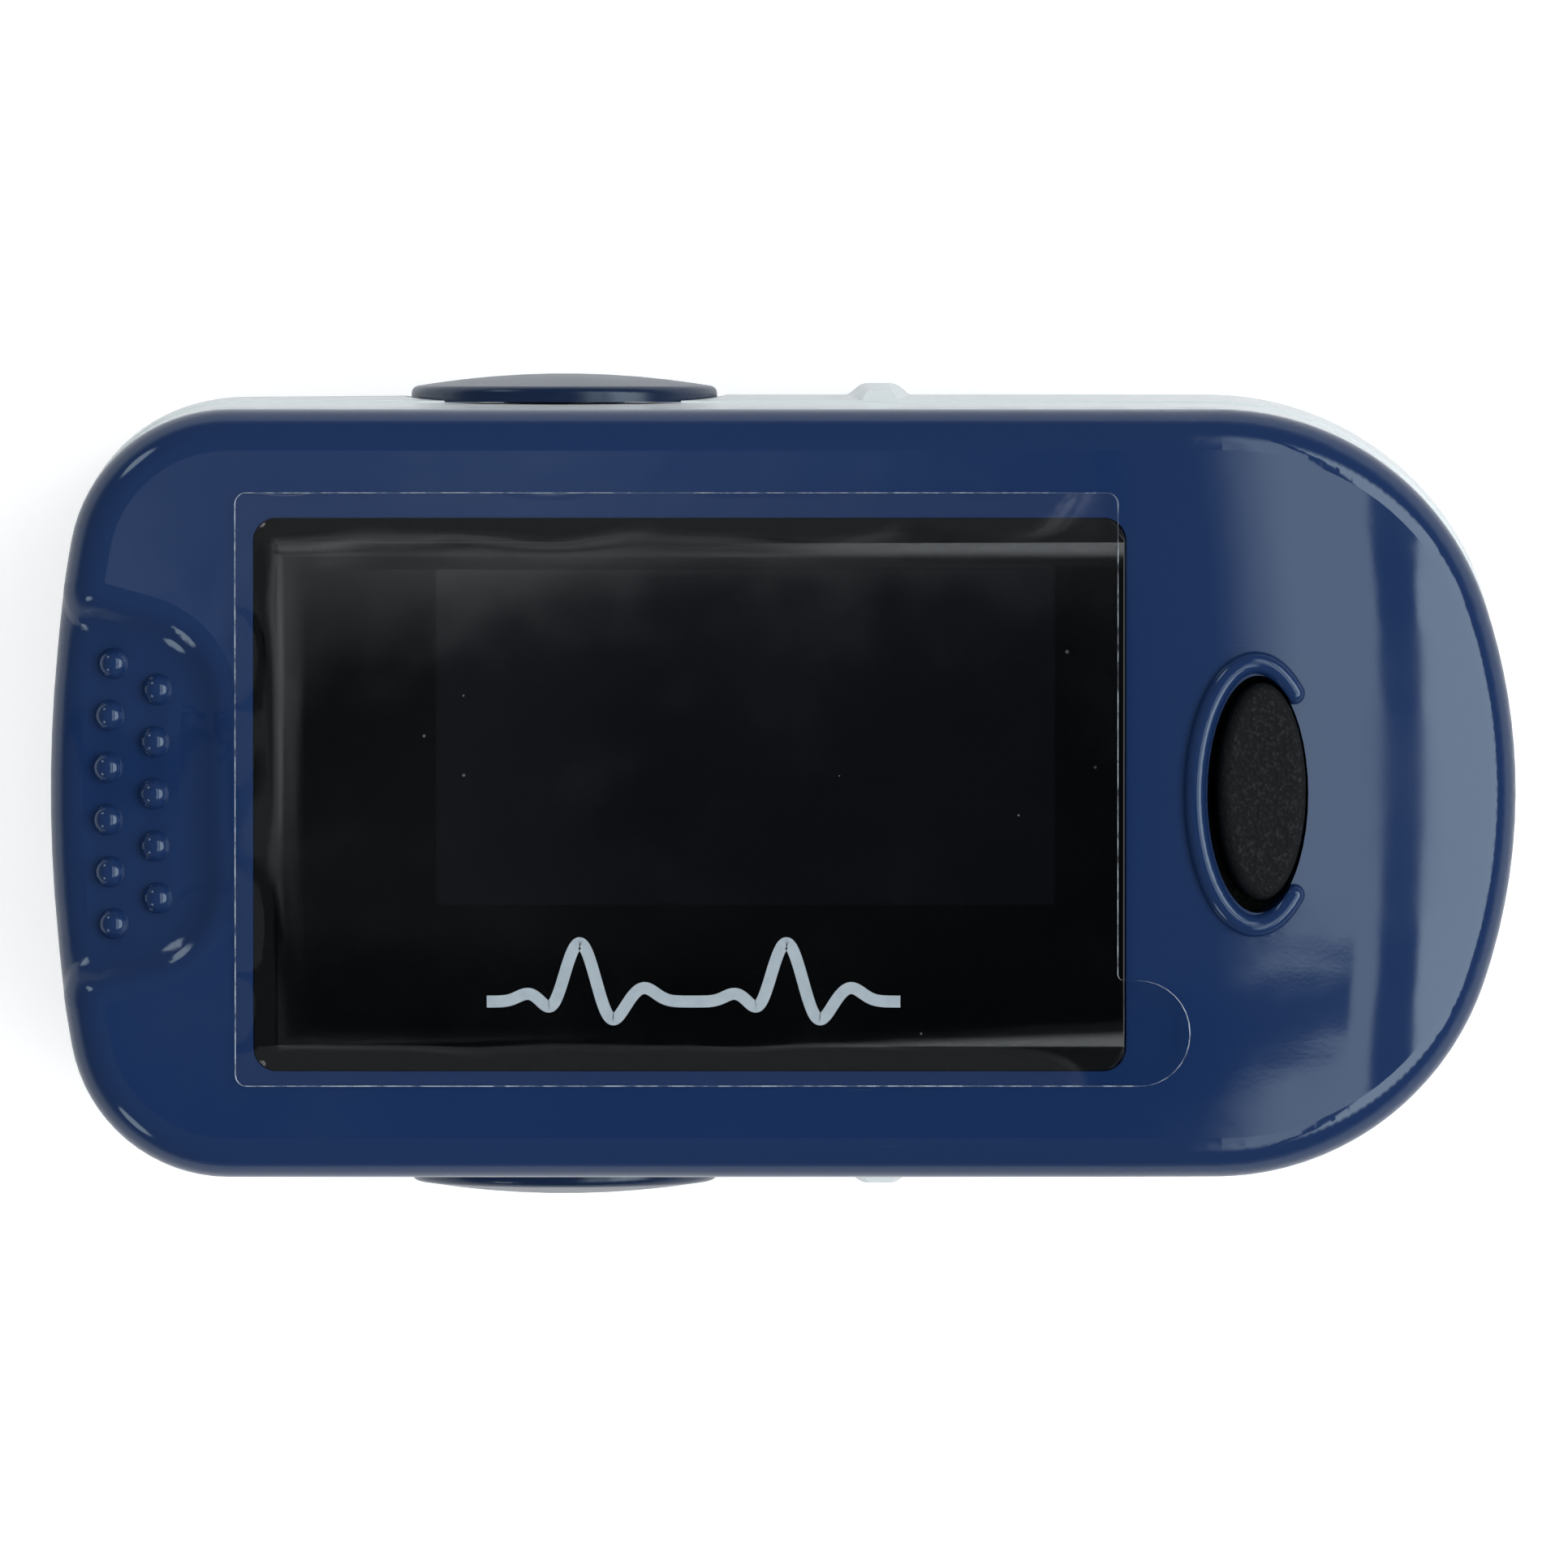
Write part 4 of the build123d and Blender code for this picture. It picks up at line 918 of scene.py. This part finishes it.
def jaw_ribbon():
    """Flat cable between the jaws: a thin band that runs up a smooth loop behind the shaft.

    Loop: x = foot - depth * sin(pi * s) to a power, less a soft shift of the upper end; z rises evenly
    with s."""
    low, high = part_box("jaw_ribbon")
    inset, upper_shift, straight = 0.12 * MM, 1.02 * MM, 0.08
    s = np.linspace(0, 1, 80)
    loop = np.clip((s - straight) / (1 - 2 * straight), 0, 1)
    depth = high.x - low.x - 2 * inset
    x = high.x - inset - depth * np.sin(np.pi * loop) ** 0.55
    x = x - upper_shift * smoothstep(s, 0.5, 1.0)
    z = low.z + (high.z - low.z) * s
    path = np.stack([x, np.zeros_like(s), z], axis=-1)
    tangent = unit(np.gradient(path, axis=0))
    side = np.tile([0.0, 1.0, 0.0], (len(s), 1))
    lift = unit(np.cross(tangent, side))
    half, thin = 3.0 * MM, 0.09 * MM
    section = np.array([(-half, -thin), (half, -thin), (half, thin), (-half, thin)])
    grid = close_ends(along_path(path, side, lift, section))
    band = surface("jaw_flat_cable", grid, ribbon_amber_y, around=True)
    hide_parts("jaw_ribbon")
    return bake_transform(band)


display_lens()
screen_film()
pulse_mark()
power_button()
torsion_spring(1, "torsion_spring_left")
torsion_spring(-1, "torsion_spring_right")
jaw_ribbon()

# ---------------------------------------------------------------- stage, light and camera


def make_floor():
    """Pale floor that reads white to the camera and still takes the object's shadow."""
    half = 1.6
    level = cad_low.z - 0.02 * MM
    edge = np.linspace(-half, half, 3)
    x, y = np.meshgrid(edge, edge)
    made, tree, shader, where = start_material("pale_floor")
    cloud = noise(tree, where, 6.0, 2.0)
    tree.links.new(mix(tree, cloud, (0.78, 0.78, 0.78), (0.80, 0.80, 0.80)), shader.inputs["Base Color"])
    shader.inputs["Roughness"].default_value = 0.9
    shader.inputs["Specular IOR Level"].default_value = 0.0
    seen = node(tree, "LightPath").outputs
    direct = maths(tree, "MAXIMUM", seen["Is Camera Ray"], seen["Is Transmission Ray"])
    shown = maths(tree, "MULTIPLY", direct, 0.5)
    shader.inputs["Emission Color"].default_value = (1, 1, 1, 1)
    tree.links.new(shown, shader.inputs["Emission Strength"])
    floor = surface("floor", np.stack([x, y, np.full_like(x, level)], axis=-1), made)


AMBIENT = 0.14
# Each panel: where it starts, is full, starts to fade and ends, in degrees towards the nose; its radiance.
NOSE_PANELS = (
    (11.8, 22.5, 30.2, 31.0, 2.5),
    (34.8, 35.8, 60.0, 66.0, 4.4),
)
# Each spot: its heading from +X and its angle from the vertical, in degrees.
TAIL_SPOTS = ((132.0, 66.0), (228.0, 66.0))
SPOT_RADIANCE = 3.5


def make_world():
    """Studio surround: dim overhead round the dark camera, pale at the horizon, two panels towards the nose.

    Level = a soft ramp of the angle from the vertical, plus each panel's soft-edged rectangle of angles, less
    the dark arm that holds the camera."""
    world = bpy.data.worlds.new("studio")
    bpy.context.scene.world = world
    world.use_nodes = True
    tree = world.node_tree
    background = tree.nodes["Background"]
    direction = tree.nodes.new("ShaderNodeTexCoord").outputs["Generated"]
    axes = node(tree, "SeparateXYZ", {"Vector": direction}).outputs
    polar = maths(tree, "ARCCOSINE", axes["Z"])
    lean_x = maths(tree, "ARCTAN2", axes["X"], axes["Z"])
    signed_y = maths(tree, "ARCTAN2", axes["Y"], axes["Z"])
    lean_y = maths(tree, "ABSOLUTE", signed_y)

    def ramp(value, start_deg, end_deg, low=0.0, high=1.0):
        return span(tree, value, math.radians(start_deg), math.radians(end_deg), low, high, smooth=True)

    uneven = span(tree, noise(tree, direction, 40.0, 1.0), 0.35, 0.65, 0.5, 1.5)
    overhead = maths(tree, "MULTIPLY", ramp(lean_x, 1.6, -1.9, 0.05, 0.55), uneven)
    dark_half_x, dark_half_y, dark_middle_y = math.radians(2.4), math.radians(0.95), math.radians(-1.75)
    dark_x = maths(tree, "DIVIDE", lean_x, dark_half_x)
    dark_y = maths(tree, "DIVIDE", maths(tree, "SUBTRACT", signed_y, dark_middle_y), dark_half_y)
    dark = maths(tree, "ADD", maths(tree, "POWER", dark_x, 2.0), maths(tree, "POWER", dark_y, 2.0))
    overhead = maths(tree, "MULTIPLY", overhead, span(tree, dark, 0.6, 1.3, 0.05, 1.0, smooth=True))
    away = ramp(polar, 2.8, 6.5)
    level = maths(tree, "MULTIPLY_ADD", maths(tree, "SUBTRACT", AMBIENT, overhead), away, overhead)
    level = maths(tree, "ADD", level, ramp(polar, 80.0, 88.0, 0.0, 0.25))
    arm_slant, arm_offset = 0.08, math.radians(2.95)
    from_arm = maths(tree, "MULTIPLY_ADD", lean_x, arm_slant, maths(tree, "ADD", signed_y, arm_offset))
    from_arm = maths(tree, "ABSOLUTE", from_arm)
    arm = maths(tree, "MULTIPLY", ramp(lean_x, 28.5, 27.8), ramp(from_arm, 0.70, 0.56))
    for start_deg, full_deg, fade_deg, end_deg, radiance in NOSE_PANELS:
        panel = maths(tree, "MULTIPLY", ramp(lean_x, start_deg, full_deg), ramp(lean_x, end_deg, fade_deg))
        panel = maths(tree, "MULTIPLY", panel, ramp(lean_y, 48.0, 30.0))
        level = maths(tree, "MULTIPLY_ADD", panel, radiance, level)
    level = maths(tree, "MULTIPLY", level, maths(tree, "SUBTRACT", 1.0, arm))
    for azimuth_deg, polar_deg in TAIL_SPOTS:
        azimuth, down = math.radians(azimuth_deg), math.radians(polar_deg)
        spot = (math.sin(down) * math.cos(azimuth), math.sin(down) * math.sin(azimuth), math.cos(down))
        near = node(tree, "VectorMath", {0: direction, 1: spot}, operation="DOT_PRODUCT").outputs["Value"]
        bright = span(tree, near, math.cos(math.radians(9.0)), math.cos(math.radians(5.0)), smooth=True)
        level = maths(tree, "MULTIPLY_ADD", bright, SPOT_RADIANCE, level)
    tree.links.new(level, background.inputs["Strength"])
    background.inputs["Color"].default_value = (0.95, 0.98, 1.0, 1.0)


def softbox(name, angle_deg, heading_deg, distance, size, radiance):
    """Soft lamp facing the object from angle_deg off the vertical, towards heading_deg round it from +X."""
    lamp = bpy.data.lights.new(name, "AREA")
    lamp.shape = "RECTANGLE"
    lamp.size, lamp.size_y = size
    lamp.energy = radiance * math.pi * size[0] * size[1]
    lamp.color = (0.96, 0.98, 1.0)
    made = bpy.data.objects.new(name, lamp)
    bpy.context.scene.collection.objects.link(made)
    tilt, heading = math.radians(angle_deg), math.radians(heading_deg)
    away = Vector((math.sin(tilt) * math.cos(heading), math.sin(tilt) * math.sin(heading), math.cos(tilt)))
    target = Vector((0, 0, cad_high.z))
    made.location = target + away * distance
    made.rotation_euler = away.to_track_quat("Z", "Y").to_euler()
    made.visible_camera = False
    made.visible_glossy = False
    made.visible_transmission = False


def make_camera():
    """Camera above the display, leaning slightly towards +Y, with +Y up in the frame."""
    distance, lean = 0.637, math.radians(1.66)
    target = Vector((0, 0.41 * MM, cad_high.z - 0.4 * MM))
    camera = bpy.data.cameras.new("camera")
    camera.lens = 378.0
    camera.sensor_width = 36.0
    made = bpy.data.objects.new("camera", camera)
    bpy.context.scene.collection.objects.link(made)
    away = Vector((0, math.sin(lean), math.cos(lean)))
    made.location = target + away * distance
    made.rotation_euler = (-lean, 0, 0)
    bpy.context.scene.camera = made


make_floor()
make_world()
softbox("fill_nose", angle_deg=33.0, heading_deg=0.0, distance=0.42, size=(0.38, 0.3), radiance=1.0)
softbox("fill_tail", angle_deg=28.0, heading_deg=180.0, distance=0.42, size=(0.34, 0.2), radiance=2.0)
softbox("fill_left", angle_deg=66.0, heading_deg=90.0, distance=0.5, size=(0.3, 0.2), radiance=2.6)
softbox("fill_right", angle_deg=66.0, heading_deg=270.0, distance=0.5, size=(0.3, 0.2), radiance=2.6)
make_camera()
bpy.context.scene.view_settings.view_transform = "Standard"
